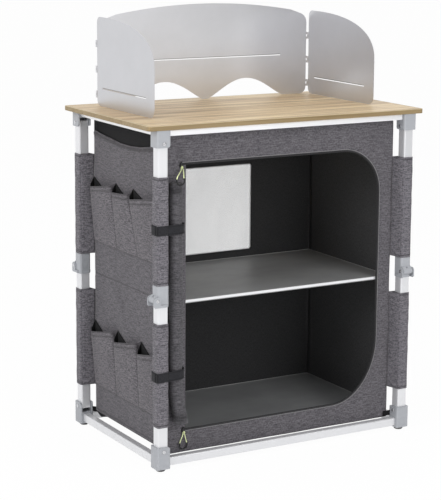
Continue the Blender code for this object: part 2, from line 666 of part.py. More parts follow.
# Front panel: the frame round the door opening, with a tight upper and a wide lower corner on the right.
corner = OPENING_TOP_CORNER
opening = [(OPENING_LEFT, OPENING_BOTTOM), (OPENING_LEFT, OPENING_TOP)]
opening += arc((OPENING_RIGHT - corner, OPENING_TOP - corner), corner, 90, 0, 8)
for i in range(9):
    angle = math.radians(90 * i / 8)
    opening.append(
        (
            OPENING_RIGHT - OPENING_BOTTOM_CORNER_X * (1 - math.cos(angle)),
            OPENING_BOTTOM + OPENING_BOTTOM_CORNER_Z * (1 - math.sin(angle)),
        )
    )
outline = [
    (-CABINET_X, CABINET_BOTTOM),
    (CABINET_X, CABINET_BOTTOM),
    (CABINET_X, FABRIC_TOP),
    (-CABINET_X, FABRIC_TOP),
]
panel = prism(outline, FRONT_FACE_Y, FRONT_FACE_Y + FABRIC_THICKNESS, holes=[opening], along="Y")
finished("front_panel", panel, FABRIC, (0, FRONT_FACE_Y, FABRIC_TOP))

# Back panel with its mesh window.
window = rounded_rectangle(2 * WINDOW_HALF_WIDTH, WINDOW_HEIGHT, WINDOW_CORNER, 3, (0, WINDOW_MIDDLE))
back_y = CABINET_Y - FABRIC_THICKNESS / 2
panel = prism(outline, back_y, back_y + FABRIC_THICKNESS, holes=[window], along="Y")
finished("back_panel", panel, LINING, (0, back_y, FABRIC_TOP))
wide = 2 * (WINDOW_HALF_WIDTH + MESH_OVERLAP)
cover = rounded_rectangle(wide, WINDOW_HEIGHT + 2 * MESH_OVERLAP, WINDOW_CORNER, 3, (0, WINDOW_MIDDLE))
mesh_low = back_y + FABRIC_THICKNESS + SEAT_GAP
net = prism(cover, mesh_low, mesh_low + MESH_THICKNESS, along="Y")
finished("mesh_window", net, MESH, (0, mesh_low, FABRIC_TOP))

# Rolled door: a bolster of fabric turned in on itself, flared a little at the bottom.
roll_outer = []
for i in range(20):
    angle = 2 * math.pi * i / 20
    lobe = 0.99 * ROLL_RADIUS * (1 - 0.05 * math.cos(3 * angle + 0.6))
    roll_outer.append((ROLL_X + lobe * math.cos(angle), ROLL_Y + 0.99 * ROLL_RADIUS * math.sin(angle)))
roll = prism(roll_outer, ROLL_BOTTOM, ROLL_TOP)
finished("rolled_door", roll, FABRIC, (ROLL_X, ROLL_Y, FABRIC_TOP), 50)

# Straps: bands round the left front leg, its sleeve and the rolled door.
leg_half = SLEEVE_SIDE / 2 + SEAT_GAP


def band(offset):
    """The outline of a band drawn tight round the sleeve and the roll, a given distance out from them."""
    left = -LEG_X
    out = []
    out += arc((left - leg_half + 0.004, -LEG_Y - leg_half + 0.004), 0.004 + offset, 180, 270, 3)
    out += arc((ROLL_X, ROLL_Y), ROLL_REACH + offset, 268, 452, 14)
    out += arc((left - leg_half + 0.004, -LEG_Y + leg_half - 0.004), 0.004 + offset, 90, 180, 3)
    return out


for name, z in (("upper_strap", UPPER_STRAP_Z), ("lower_strap", LOWER_STRAP_Z)):
    strap = prism(band(STRAP_WALL), z - STRAP_HEIGHT / 2, z + STRAP_HEIGHT / 2, holes=[band(0.0)])
    finished(name, strap, SLEEVE, (-LEG_X, -LEG_Y, z))


def zip_pull(name, x, z):
    """A slider on the zip with a short cord and a loop to pull it by."""
    y = FRONT_FACE_Y - SEAT_GAP - SLIDER_DEPTH / 2
    half = Vector((SLIDER_WIDTH, SLIDER_DEPTH, SLIDER_HEIGHT)) / 2
    body = box(Vector((x, y, z)) - half, Vector((x, y, z)) + half)
    low = z - half.z - PULL_LENGTH
    cords = [rod((x, y, z - half.z + 0.002), (x + s * 0.004, y, low), CORD_RADIUS, 8) for s in (-1, 1)]
    middle = (x, low - PULL_LOOP_RADIUS + 0.002)
    inner = PULL_LOOP_RADIUS - 2 * PULL_LOOP_WIRE
    ring = rounded_rectangle(2 * PULL_LOOP_RADIUS, 2 * PULL_LOOP_RADIUS, PULL_LOOP_RADIUS * 0.98, 4, middle)
    hole = rounded_rectangle(2 * inner, 2 * inner, inner * 0.98, 4, middle)
    loop = prism(ring, y - PULL_LOOP_WIRE * 0.7, y + PULL_LOOP_WIRE * 0.7, holes=[hole], along="Y")
    finished(name, combined(body, add=[*cords, loop]), PULL, (x, y, z))


zip_pull("upper_zip_pull", ZIP_X, OPENING_TOP)
zip_pull("lower_zip_pull", LOWER_ZIP_X, OPENING_BOTTOM)

# Windshield: the back leaf is arched along its top and cut out below, and stands on three rounded feet.
SHIELD_STEPS = 24
span = SHIELD_HALF_WIDTH
foot_x = span - SHIELD_BOTTOM_CORNER
foot_z = SHIELD_BASE + SHIELD_BOTTOM_CORNER
corner_x = span - SHIELD_TOP_CORNER
corner_z = SHIELD_BASE + SHIELD_END_HEIGHT - SHIELD_TOP_CORNER
leaf = arc((-foot_x, foot_z), SHIELD_BOTTOM_CORNER, 180, 270, 6)
for start in (-ARCH_END, ARCH_START):
    for i in range(17):
        share = i / 16
        rise = ARCH_HEIGHT * abs(math.sin(math.pi * share)) ** 1.2
        leaf.append((start + (ARCH_END - ARCH_START) * share, SHIELD_BASE + rise))
leaf += arc((foot_x, foot_z), SHIELD_BOTTOM_CORNER, 270, 360, 6)
leaf += arc((corner_x, corner_z), SHIELD_TOP_CORNER, 0, 75, 5)
for i in range(1, SHIELD_STEPS):
    x = (span - SHIELD_TOP_CORNER) * (1 - 2 * i / SHIELD_STEPS)
    rise = (SHIELD_MID_HEIGHT - SHIELD_END_HEIGHT) * (1 - (x / span) ** 2)
    leaf.append((x, SHIELD_BASE + SHIELD_END_HEIGHT + rise))
leaf += arc((-corner_x, corner_z), SHIELD_TOP_CORNER, 105, 180, 5)
slot_z = SHIELD_BASE + BACK_SLOT_Z
slot = rounded_rectangle(2 * BACK_SLOT_HALF, SLOT_HEIGHT, SLOT_HEIGHT * 0.45, 2, (0, slot_z))
half_sheet = SHIELD_THICKNESS / 2
back = prism(leaf, SHIELD_Y - half_sheet, SHIELD_Y + half_sheet, holes=[slot], along="Y")
additions = []
for side in (-1, 1):
    for height in HINGE_HEIGHTS:
        z = SHIELD_BASE + height
        for low in (z - 1.5 * KNUCKLE_HEIGHT - SEAT_GAP, z + 0.5 * KNUCKLE_HEIGHT + SEAT_GAP):
            near, far = sorted((side * (span - 0.003), side * HINGE_X))
            high = low + KNUCKLE_HEIGHT
            tongue = box((near, SHIELD_Y - half_sheet * 0.9, low), (far, SHIELD_Y + half_sheet * 0.9, high))
            barrel = rod((side * HINGE_X, HINGE_Y, low), (side * HINGE_X, HINGE_Y, high), KNUCKLE_RADIUS, 12)
            additions += [tongue, barrel]
        reach = 1.5 * KNUCKLE_HEIGHT - 0.001
        pin = rod((side * HINGE_X, HINGE_Y, z - reach), (side * HINGE_X, HINGE_Y, z + reach), KNUCKLE_PIN, 8)
        additions.append(pin)
finished("windshield_back", combined(back, add=additions), SHEET, (0, SHIELD_Y, SHIELD_BASE))

# Wings: each falls along a full, rounded curve from the hinge to its front edge.
for name, side in (("windshield_left_wing", -1), ("windshield_right_wing", 1)):
    rear = HINGE_Y - HINGE_REACH
    front = rear - WING_LENGTH
    low = SHIELD_BASE + 0.0005
    turn = rear - WING_REAR_CORNER
    leaf = arc((turn, low + WING_REAR_CORNER), WING_REAR_CORNER, 270, 360, 5)
    leaf += arc((turn, SHIELD_BASE + WING_REAR_HEIGHT - WING_REAR_CORNER), WING_REAR_CORNER, 0, 90, 5)
    for i in range(1, 21):
        angle = math.radians(90 * i / 20)
        y = turn - (WING_LENGTH - WING_REAR_CORNER) * math.sin(angle) ** 0.82
        z = WING_FRONT_HEIGHT + (WING_REAR_HEIGHT - WING_FRONT_HEIGHT) * abs(math.cos(angle)) ** 0.82
        leaf.append((y, SHIELD_BASE + z))
    leaf += arc((front + WING_CORNER, low + WING_CORNER), WING_CORNER, 180, 270, 6)
    slot_length = WING_SLOT_END - WING_SLOT_START
    slot_middle = (rear - (WING_SLOT_START + WING_SLOT_END) / 2, SHIELD_BASE + WING_SLOT_Z)
    slot = rounded_rectangle(slot_length, SLOT_HEIGHT, SLOT_HEIGHT * 0.45, 2, slot_middle)
    x = side * HINGE_X
    wing = prism(leaf, x - half_sheet, x + half_sheet, holes=[slot], along="X")
    additions = []
    bores = []
    for height in HINGE_HEIGHTS:
        z = SHIELD_BASE + height
        low = z - 0.5 * KNUCKLE_HEIGHT
        high = z + 0.5 * KNUCKLE_HEIGHT
        half = half_sheet * 0.9
        tongue = box((x - half, rear - 0.003, low), (x + half, HINGE_Y - KNUCKLE_PIN, high))
        barrel = rod((x, HINGE_Y, low), (x, HINGE_Y, high), KNUCKLE_RADIUS, 12)
        additions += [tongue, barrel]
        bores.append(rod((x, HINGE_Y, low - 0.002), (x, HINGE_Y, high + 0.002), KNUCKLE_PIN + 0.0003, 8))
    wing = combined(wing, add=additions)
    finished(name, combined(wing, cut=bores), SHEET, (x, HINGE_Y, SHIELD_BASE))
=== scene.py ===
"""Looks of the folding camp kitchen: studio, finishes and soft goods round the solids of the CAD. Metres, +Z
up, +Y to the rear, origin on the floor under the worktop's middle."""

import math

import bpy
import numpy as np
from mathutils import Matrix, Vector


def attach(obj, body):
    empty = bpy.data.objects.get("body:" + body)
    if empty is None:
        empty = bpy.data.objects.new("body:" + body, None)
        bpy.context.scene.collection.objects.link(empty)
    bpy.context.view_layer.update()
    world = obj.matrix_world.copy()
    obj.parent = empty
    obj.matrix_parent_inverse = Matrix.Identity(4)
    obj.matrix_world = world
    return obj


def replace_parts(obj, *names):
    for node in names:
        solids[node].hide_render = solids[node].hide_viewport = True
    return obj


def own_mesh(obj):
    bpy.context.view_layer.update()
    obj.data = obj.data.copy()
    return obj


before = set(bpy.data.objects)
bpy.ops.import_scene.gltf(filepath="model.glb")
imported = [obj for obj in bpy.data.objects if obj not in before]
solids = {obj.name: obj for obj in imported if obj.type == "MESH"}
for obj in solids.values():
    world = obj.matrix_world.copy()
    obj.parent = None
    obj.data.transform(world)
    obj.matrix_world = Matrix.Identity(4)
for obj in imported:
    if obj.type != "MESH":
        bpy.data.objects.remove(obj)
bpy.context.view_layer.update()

# The studio. A camera at the picture's standpoint, a long lens with a small shift, a white floor that keeps a
# faint shadow, broad soft lamps in front and above, and a dark card that shades the metal and stays unseen.
YAW, PITCH, ROLL = 0.5298, 0.1841, 0.0081
STANDPOINT = (-2.2973, -3.8865, 1.423)
WIDTH, HEIGHT, FOCAL, MIDDLE_X, MIDDLE_Y = 441, 500, 1711.76, 235.95, 217.29  # the picture's, in pixels


def added(name, data):
    """A new object of the given data, in the scene."""
    made = bpy.data.objects.new(name, data)
    bpy.context.scene.collection.objects.link(made)
    return made


camera = added("camera", bpy.data.cameras.new("camera"))
turned = Matrix.Rotation(-YAW, 4, "Z") @ Matrix.Rotation(math.pi / 2 - PITCH, 4, "X")
camera.matrix_world = Matrix.Translation(STANDPOINT) @ turned @ Matrix.Rotation(ROLL, 4, "Z")
camera.data.sensor_width = 36.0
camera.data.lens = 36.0 * FOCAL / HEIGHT
camera.data.shift_x = (WIDTH / 2 - MIDDLE_X) / HEIGHT
camera.data.shift_y = (MIDDLE_Y - HEIGHT / 2) / HEIGHT
camera.data.clip_end = 300.0
bpy.context.scene.camera = camera
bpy.context.scene.view_settings.view_transform = "Standard"


def lamp(name, place, aim, size, power):
    """A square soft lamp that looks from its place at a point. Metal shows the room and not the lamp."""
    made = added(name, bpy.data.lights.new(name, "AREA"))
    made.data.size, made.data.energy = size, power
    made.location = place
    made.visible_glossy = False
    made.rotation_mode = "QUATERNION"
    made.rotation_quaternion = (Vector(aim) - Vector(place)).to_track_quat("-Z", "Y")


lamp("front_lamp", (0.9, -3.8, 2.2), (0.0, 0.0, 0.45), 2.2, 55.0)
lamp("low_front_lamp", (-0.2, -3.4, 0.9), (0.1, 0.0, 0.35), 1.4, 16.0)
lamp("left_lamp", (-3.4, -0.9, 2.2), (0.0, 0.0, 0.45), 2.0, 64.0)
lamp("top_lamp", (0.0, 0.2, 4.2), (0.0, 0.0, 0.8), 2.6, 24.0)


class Signal:
    """A socket in Python expressions: each operation on it adds one Math node."""

    def __init__(self, finish, socket):
        self.finish = finish
        self.socket = socket

    def math(self, operation, *others):
        return self.finish.node("ShaderNodeMath", {"operation": operation}, dict(enumerate((self, *others))))

    def __add__(self, other):
        return self.math("ADD", other)

    def __sub__(self, other):
        return self.math("SUBTRACT", other)

    def __rsub__(self, other):
        return self.math("MULTIPLY_ADD", -1.0, other)

    def __mul__(self, other):
        return self.math("MULTIPLY", other)

    def __abs__(self):
        return self.math("ABSOLUTE")

    def step(self, low, high):
        """0 below one level, 1 above another, with a smooth rise between them."""
        sockets = {"Value": self, "From Min": low, "From Max": high}
        return self.finish.node("ShaderNodeMapRange", {"interpolation_type": "SMOOTHSTEP"}, sockets)


class Finish:
    """A material being written, or the world. One method adds any node, and the last one fills the shader's
    own sockets."""

    def __init__(self, name, world=None):
        self.made = world or bpy.data.materials.new(name)
        self.made.use_nodes = True
        self.tree = self.made.node_tree
        kinds = ("Background", "World Output") if world else ("Principled BSDF", "Material Output")
        self.shader, self.end = (self.tree.nodes[kind] for kind in kinds)

    def node(self, kind, settings=None, sockets=None, output=0):
        """Adds a node, sets its properties, fills its sockets and gives one of its outputs as a signal."""
        made = self.tree.nodes.new(kind)
        for key, value in (settings or {}).items():
            setattr(made, key, value)
        for key, value in (sockets or {}).items():
            self.fill(made.inputs[key], value)
        return Signal(self, made.outputs[output])

    def fill(self, socket, value):
        """Links a signal to a socket, or sets a number, vector or colour on it."""
        if isinstance(value, Signal):
            self.tree.links.new(value.socket, socket)
        elif socket.type == "RGBA":
            socket.default_value = (*value, 1.0)
        else:
            socket.default_value = value

    def place(self, scale, kind):
        """Object coordinates, or the cut's own in metres, times a scale for each axis."""
        source = self.node("ShaderNodeTexCoord", output="UV" if kind == "cut" else "Object")
        return self.node("ShaderNodeVectorMath", {"operation": "MULTIPLY"}, {0: source, 1: scale})

    def axes(self, kind="object"):
        """The three axes of those coordinates, each as a signal."""
        vector = self.place((1.0, 1.0, 1.0), kind)
        return [self.node("ShaderNodeSeparateXYZ", sockets={0: vector}, output=i) for i in range(3)]

    def noise(self, scale, detail=2.0, rough=0.5, flow=0.0, kind="object"):
        """Noise at one scale, or at one for each axis."""
        vector = self.place(scale if isinstance(scale, tuple) else (scale, scale, scale), kind)
        sockets = {"Vector": vector, "Scale": 1.0, "Detail": detail, "Roughness": rough, "Distortion": flow}
        return self.node("ShaderNodeTexNoise", {}, sockets)

    def between(self, factor, first, second):
        """A colour that goes from the first to the second as the factor goes from 0 to 1."""
        return self.node("ShaderNodeMix", {"data_type": "RGBA"}, {0: factor, 6: first, 7: second}, 2)

    def layered(self, colour, *layers):
        """A colour with others laid over it, each by its own factor."""
        for factor, other in layers:
            colour = self.between(factor, colour, other)
        return colour

    def raised(self, height, depth, strength=1.0):
        """A normal from a height signal, with the height of 1 in metres."""
        sockets = {"Height": height, "Distance": depth, "Strength": strength}
        return self.node("ShaderNodeBump", {}, sockets)

    def shown_to(self, other, share, *rays):
        """Lays another shader over the own one, by a share, for some kinds of rays only."""
        factor = self.node("ShaderNodeLightPath", output=rays[0])
        for kind in rays[1:]:
            factor = factor.math("MAXIMUM", self.node("ShaderNodeLightPath", output=kind))
        own = Signal(self, self.shader.outputs[0])
        mixed = self.node("ShaderNodeMixShader", sockets={0: factor * share, 1: own, 2: other})
        self.fill(self.end.inputs["Surface"], mixed)

    def done(self, **sockets):
        """Fills the shader's sockets, named with underscores for spaces, and gives what was written."""
        for name, value in sockets.items():
            self.fill(self.shader.inputs[name.replace("_", " ")], value)
        return self.made


room = Finish("studio", bpy.data.worlds.new("studio"))
white = room.node("ShaderNodeBackground", sockets={"Color": (1.0, 1.0, 1.0), "Strength": 1.0})
room.shown_to(white, 1.0, "Is Camera Ray", "Is Glossy Ray", "Is Transmission Ray")
bpy.context.scene.world = room.done(Color=(1.0, 1.0, 1.0), Strength=0.52)


def stage_board(name, corners, finish):
    """A flat piece of the studio, which isn't part of the kitchen."""
    mesh = bpy.data.meshes.new(name)
    mesh.from_pydata(corners, [], [(0, 1, 2, 3)])
    mesh.materials.append(finish)
    board = added(name, mesh)
    return board


paper = Finish("white floor")
glow = paper.node("ShaderNodeEmission", sockets={"Strength": 1.0})
paper.shown_to(glow, 0.97, "Is Camera Ray", "Is Glossy Ray")
white_paper = paper.done(Base_Color=(0.93, 0.93, 0.93), Roughness=0.9, Specular_IOR_Level=0.1)
FLOOR_HALF = 60.0
floor_corners = [(FLOOR_HALF * x, FLOOR_HALF * y, 0.0) for x, y in ((-1, -1), (1, -1), (1, 1), (-1, 1))]
stage_board("floor", floor_corners, white_paper)
felt = Finish("black felt").done(Base_Color=(0.03, 0.03, 0.03), Roughness=0.95)
card = stage_board(
    "dark_card", [(1.60, -2.02, 0.0), (3.1, -1.15, 0.0), (3.1, -1.15, 2.2), (1.60, -2.02, 2.2)], felt
)
card.visible_camera = False


# Worktop: a lacquered bamboo board of narrow strips glued side by side along its length, with rounded edges.
# The strips differ in tone, and long brown fibres run through them.
def tone(red, green, blue):
    """Linear light for a screen colour of 0 to 255."""
    return tuple(((c / 255 + 0.055) / 1.055) ** 2.4 for c in (red, green, blue))


def dressed(name, finish):
    """Gives a solid of the CAD a better finish, in its own material slot."""
    solid = solids[name]
    if solid.material_slots:
        for entry in solid.material_slots:
            entry.material = finish
    else:
        solid.data.materials.append(finish)


STRIPS_PER_METRE = 55.0
board = Finish("lacquered bamboo")
x, y, z = board.axes()
strips = y * STRIPS_PER_METRE
strip = (strips + z * 9.0).math("FLOOR")
strip_tone = board.node("ShaderNodeTexWhiteNoise", {"noise_dimensions": "1D"}, {"W": strip})
fibres = board.noise((2.6, 150.0, 150.0), 4.0, 0.6, 0.4)
streaks = board.noise((1.3, 26.0, 26.0), 3.0, 0.55, 0.8).step(0.28, 0.72)
stains = board.noise((1.9, 17.0, 17.0), 2.0, 0.5, 0.6).step(0.56, 0.74)
cane_joints = board.noise((9.0, 60.0, 60.0)).step(0.66, 0.74)
glue_lines = abs(strips.math("FRACT") - 0.5).step(0.475, 0.497)
rim = abs(x).step(0.402, 0.409).math("MAXIMUM", abs(y).step(0.237, 0.244))
body = board.layered(
    board.between(strip_tone * 0.35 + streaks * 0.65, tone(247, 224, 180), tone(194, 159, 110)),
    (fibres.step(0.45, 0.66) * 0.92, tone(130, 95, 50)),
    (stains * 0.45, tone(142, 108, 60)),
    (cane_joints * 0.25, tone(140, 102, 58)),
    (glue_lines * 0.35, tone(140, 104, 62)),
    # The board is darker round its edge, and a painted highlight runs along the rounded top of the edge.
    (rim * 0.82, tone(126, 110, 80)),
    (z.step(0.8785, 0.8792) * rim * 0.6, tone(212, 194, 156)),
)
dressed("worktop", board.done(
    Base_Color=body,
    Roughness=fibres * 0.12 + 0.30,
    Specular_IOR_Level=0.35,
    Normal=board.raised(fibres * 0.7 + glue_lines * -0.6, 0.00035, 0.35),
))


# Rails and leg tubes: extruded aluminium cut to length, with a satin anodised skin. Fine draw lines run along
# each one. The rails are pushed over spigots of the brackets, and the legs turn on pins.
def drawn_metal(name, along, grey_with_painted_light):
    """Satin metal of one grey. Its draw lines are a noise that is long along one axis and fine across it."""
    metal = Finish(name)
    lines = metal.noise(tuple(6.0 if axis == along else 900.0 for axis in "XYZ"), 2.0, 0.6)
    cloud = metal.noise(14.0)
    light, dark = tone(grey_with_painted_light, grey_with_painted_light, grey_with_painted_light + 2), tone(grey_with_painted_light - 13, grey_with_painted_light - 12, grey_with_painted_light - 9)
    return metal.done(
        Base_Color=metal.between(lines * 0.5 + cloud * 0.5, light, dark),
        Roughness=lines * 0.10 + cloud * 0.08 + 0.26,
        Metallic=0.45,
        Normal=metal.raised(lines, 0.00004, 0.5),
    )


# The top rails get a lighter grey than the bottom rails and legs, though all are one aluminium: painted
# light.
for axis, ending, starts, grey_with_painted_light in (
    ("X", "_top_rail", ("front", "rear"), 253), ("Y", "_top_rail", ("left", "right"), 253),
    ("X", "_bottom_rail", ("front", "rear"), 232), ("Y", "_bottom_rail", ("left", "right"), 232),
    ("Z", "_leg", ("left", "right"), 233),
):
    tube_metal = drawn_metal(f"satin aluminium{ending.replace('_', ' ')} along {axis}", axis, grey_with_painted_light)
    for name in solids:
        if name.endswith(ending) and name.startswith(starts):
            dressed(name, tube_metal)


# Brackets and knees: grey glass-filled nylon, moulded with a fine spark-eroded grain and a little flow
# marking, with dirt in places.
nylon = Finish("moulded grey nylon")
grain = nylon.noise(2600.0, 2.0, 0.6)
flow = nylon.noise((18.0, 18.0, 50.0), 3.0, 0.6, 1.2)
dirt = nylon.noise(60.0, 3.0, 0.6).step(0.55, 0.85)
shade = nylon.layered(tone(172, 174, 179), (flow, tone(158, 161, 166)), (dirt * 0.18, tone(140, 141, 143)))
nylon_grey = nylon.done(
    Base_Color=shade, Roughness=grain * 0.14 + 0.40, Normal=nylon.raised(grain, 0.00006, 0.6)
)
for name in solids:
    if name.endswith(("_bracket", "_knee")):
        dressed(name, nylon_grey)


# Rivets: turned steel pins with domed heads, across each bracket and knee. The head is a low dome with a
# small dimple where it was headed over.
def surface(name, points, finish, **extra):
    """A mesh on a grid of points, rows by columns: each square joins a point, the next in its row and the two
    above, so it faces along columns times rows. around joins the last column to the first, and capped closes
    both ends with a fan. The cut map is the length along the rows and up the columns, in metres."""
    around = extra.get("around", False)
    rows, columns = points.shape[:2]
    wide = columns if around else columns - 1
    i, j = np.meshgrid(np.arange(rows - 1), np.arange(wide), indexing="ij")
    corners = [(i, j), (i, j + 1), (i + 1, j + 1), (i + 1, j)]
    faces = np.stack([a * columns + b % columns for a, b in corners], axis=-1).reshape(-1, 4).tolist()
    closed = np.concatenate([points, points[:, :1]], axis=1) if around else points
    across = np.linalg.norm(np.diff(closed, axis=1), axis=2).mean(axis=0)
    upward = np.linalg.norm(np.diff(closed, axis=0), axis=2).mean(axis=1)
    u, v = np.meshgrid(np.append(0.0, np.cumsum(across)), np.append(0.0, np.cumsum(upward)))
    cut = extra.get("cut", np.stack([u, v], axis=-1))
    layout = np.stack([cut[a, b] for a, b in corners], axis=-2).reshape(-1, 2)
    everything = points.reshape(-1, 3)
    if extra.get("capped"):
        everything = np.concatenate([everything, points[0].mean(axis=0)[None], points[-1].mean(axis=0)[None]])
        low, high = rows * columns, rows * columns + 1
        last = (rows - 1) * columns
        ends = [(low, (k + 1) % columns, k) for k in range(columns)]
        ends += [(high, last + k, last + (k + 1) % columns) for k in range(columns)]
        faces += ends
        layout = np.concatenate([layout, np.tile(cut[0, 0], (3 * len(ends), 1))])
    mesh = bpy.data.meshes.new(name)
    mesh.from_pydata(everything.tolist(), [], faces)
    mesh.uv_layers.new(name="cut").data.foreach_set("uv", layout.ravel())
    seam = mesh.attributes.new("seam", "FLOAT", "POINT")
    marks = extra.get("seam")
    if marks is not None:
        values = np.zeros(len(everything))
        values[: rows * columns] = marks.ravel()
        seam.data.foreach_set("value", values.astype(np.float32))
    mesh.materials.append(finish)
    if "second" in extra:
        other, mask = extra["second"]
        mesh.materials.append(other)
        index = np.zeros(len(faces), dtype=np.int32)
        index[: mask.size] = mask.ravel()
        mesh.polygons.foreach_set("material_index", index)
    mesh.shade_smooth()
    made = added(name, mesh)
    if extra.get("thickness"):
        wall = made.modifiers.new("wall", "SOLIDIFY")
        wall.thickness = extra["thickness"]
        wall.offset = extra.get("offset", -1.0)
    return made


def joined(name, pieces):
    """Several meshes as one object under a new name."""
    with bpy.context.temp_override(active_object=pieces[0], selected_editable_objects=pieces):
        bpy.ops.object.join()
    pieces[0].name = pieces[0].data.name = name
    return pieces[0]


def grained(name, noise, light, dark, rough, metallic=0.0):
    """A material whose tone and roughness follow one noise, given by its scale, detail and roughness. rough
    is how much the skin's roughness grows with the noise, and where it starts."""
    made = Finish(name)
    grain = made.noise(*noise)
    colour = made.between(grain, tone(*light), tone(*dark))
    return made.done(Base_Color=colour, Roughness=grain * rough[0] + rough[1], Metallic=metallic)


steel = grained("headed steel", (3000.0, 1.0, 0.5), (226, 227, 230), (196, 197, 200), (0.1, 0.2), 1.0)


def rivet_head(name, centre, axis, radius, height):
    """A dome on the end of a pin: its radius falls from the rim along a quarter ellipse as it rises, and it
    turns down again into a dimple at the middle."""
    spread = np.array([1.0, 0.97, 0.86, 0.62, 0.40, 0.30, 0.12])[:, None, None]
    rise = np.array([0.0, 0.55, 0.86, 0.97, 1.0, 0.9, 0.62])[:, None, None]
    angle = np.linspace(0, 2 * np.pi, 20, endpoint=False)[:, None]
    axis = np.array(axis, float)
    first = np.cross(axis, (0.0, 0.0, 1.0))
    first /= np.linalg.norm(first)
    circle = np.cos(angle) * first + np.sin(angle) * np.cross(axis, first)
    points = centre + radius * spread * circle + height * rise * axis
    return surface(name, points, steel, around=True, capped=True)


def quarter_turned(x, y, turns):
    """A flat vector, turned anticlockwise by a number of quarter turns."""
    for _ in range(turns):
        x, y = -y, x
    return np.array((x, y))


def rivet_pair(centre, across, half, radius, height):
    """The two heads of a pin through a point, along a flat direction, each at half its length."""
    across = np.append(across, 0.0)
    return [rivet_head("head", centre + way * half * across, way * across, radius, height) for way in (-1, 1)]


CORNERS = {"left_front": (-1, -1), "right_front": (1, -1), "right_rear": (1, 1), "left_rear": (-1, 1)}
LEG_X, LEG_Y = 0.3675, 0.2245
KNEE_Z, KNEE_PIN_OUT = 0.4445, 0.018
for level_name, height, body_name in (("lower", 0.054, "base_frame"), ("upper", 0.835, "top_frame")):
    heads = []
    for turns, (side, depth) in enumerate(CORNERS.values()):
        centre = (side * LEG_X, depth * LEG_Y, height)
        heads += rivet_pair(centre, abs(quarter_turned(0, 1, turns)), 0.019, 0.0053, 0.0018)
    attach(joined(f"{level_name}_bracket_rivets", heads), body_name)
for turns, (corner, (side, depth)) in enumerate(CORNERS.items()):
    flat = quarter_turned(-KNEE_PIN_OUT, 0, turns) + (side * LEG_X, depth * LEG_Y)
    heads = rivet_pair((*flat, KNEE_Z), quarter_turned(0, 1, turns), 0.0193, 0.0049, 0.0017)
    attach(joined(f"{corner}_lower_knee_rivets", heads), f"{corner}_lower")


# Feet: round pads of black-grey rubber under the lower brackets, with a matt skin and dust along their lower
# edge.
rubber = Finish("foot rubber")
skin = rubber.noise(1400.0, 3.0, 0.6)
_, _, height = rubber.axes()
dust = (1.0 - height.step(0.0, 0.005)) * rubber.noise(220.0)
rubber_grey = rubber.done(
    Base_Color=rubber.layered(
        tone(92, 92, 94), (skin * 0.6, tone(70, 70, 72)), (dust * 0.7, tone(150, 147, 142))
    ),
    Roughness=skin * 0.15 + 0.7,
    Normal=rubber.raised(skin, 0.0001, 0.6),
)
for corner in CORNERS:
    dressed(f"{corner}_foot", rubber_grey)


# Windshield: three leaves of thin sheet metal with a fine bead-blasted skin, slotted, and joined by rolled
# knuckles with a pin. The blasting leaves a soft mottle, and handling leaves faint smears.
def blasted(name, light, along, slot_top, low, high):
    """Blasted sheet metal of one grey. A painted shadow lies as a dark line above its slot, which runs along
    X or Y.
    """
    sheet = Finish(name)
    x, y, z = sheet.axes()
    run = x if along == "X" else y
    # Painted shadow: a dark line just above the slot, standing in for the shade under its upper edge.
    painted_slot_shadow = (z.step(slot_top, slot_top + 0.0004) - z.step(slot_top + 0.0012, slot_top + 0.0022)) * 0.75
    painted_slot_shadow = painted_slot_shadow * run.step(low, low + 0.002) * (1.0 - run.step(high - 0.002, high))
    blast = sheet.noise(1900.0, 2.0, 0.65)
    mottle = sheet.noise(22.0, 4.0, 0.62)
    smear = sheet.noise((7.0, 7.0, 16.0))
    spots = tone(light - 14, light - 13, light - 10)
    return sheet.done(
        Base_Color=sheet.layered(
            tone(light, light, light + 4), (mottle * 0.6 + blast * 0.4, spots), (painted_slot_shadow, tone(84, 82, 80))
        ),
        Roughness=smear * 0.10 + blast * 0.06 + 0.24,
        Metallic=1.0,
        Normal=sheet.raised(blast, 0.00003, 0.3),
    )


dressed("windshield_back", blasted("blasted back leaf", 232, "X", 0.99355, -0.2410, 0.2410))
# The wings get a darker grey than the back leaf, though all three are one metal: painted shade.
for wing in ("left_wing", "right_wing"):
    wing_metal = blasted(f"blasted {wing.replace('_', ' ')}", 216, "Y", 0.92855, -0.0780, 0.1710)
    dressed(f"windshield_{wing}", wing_metal)


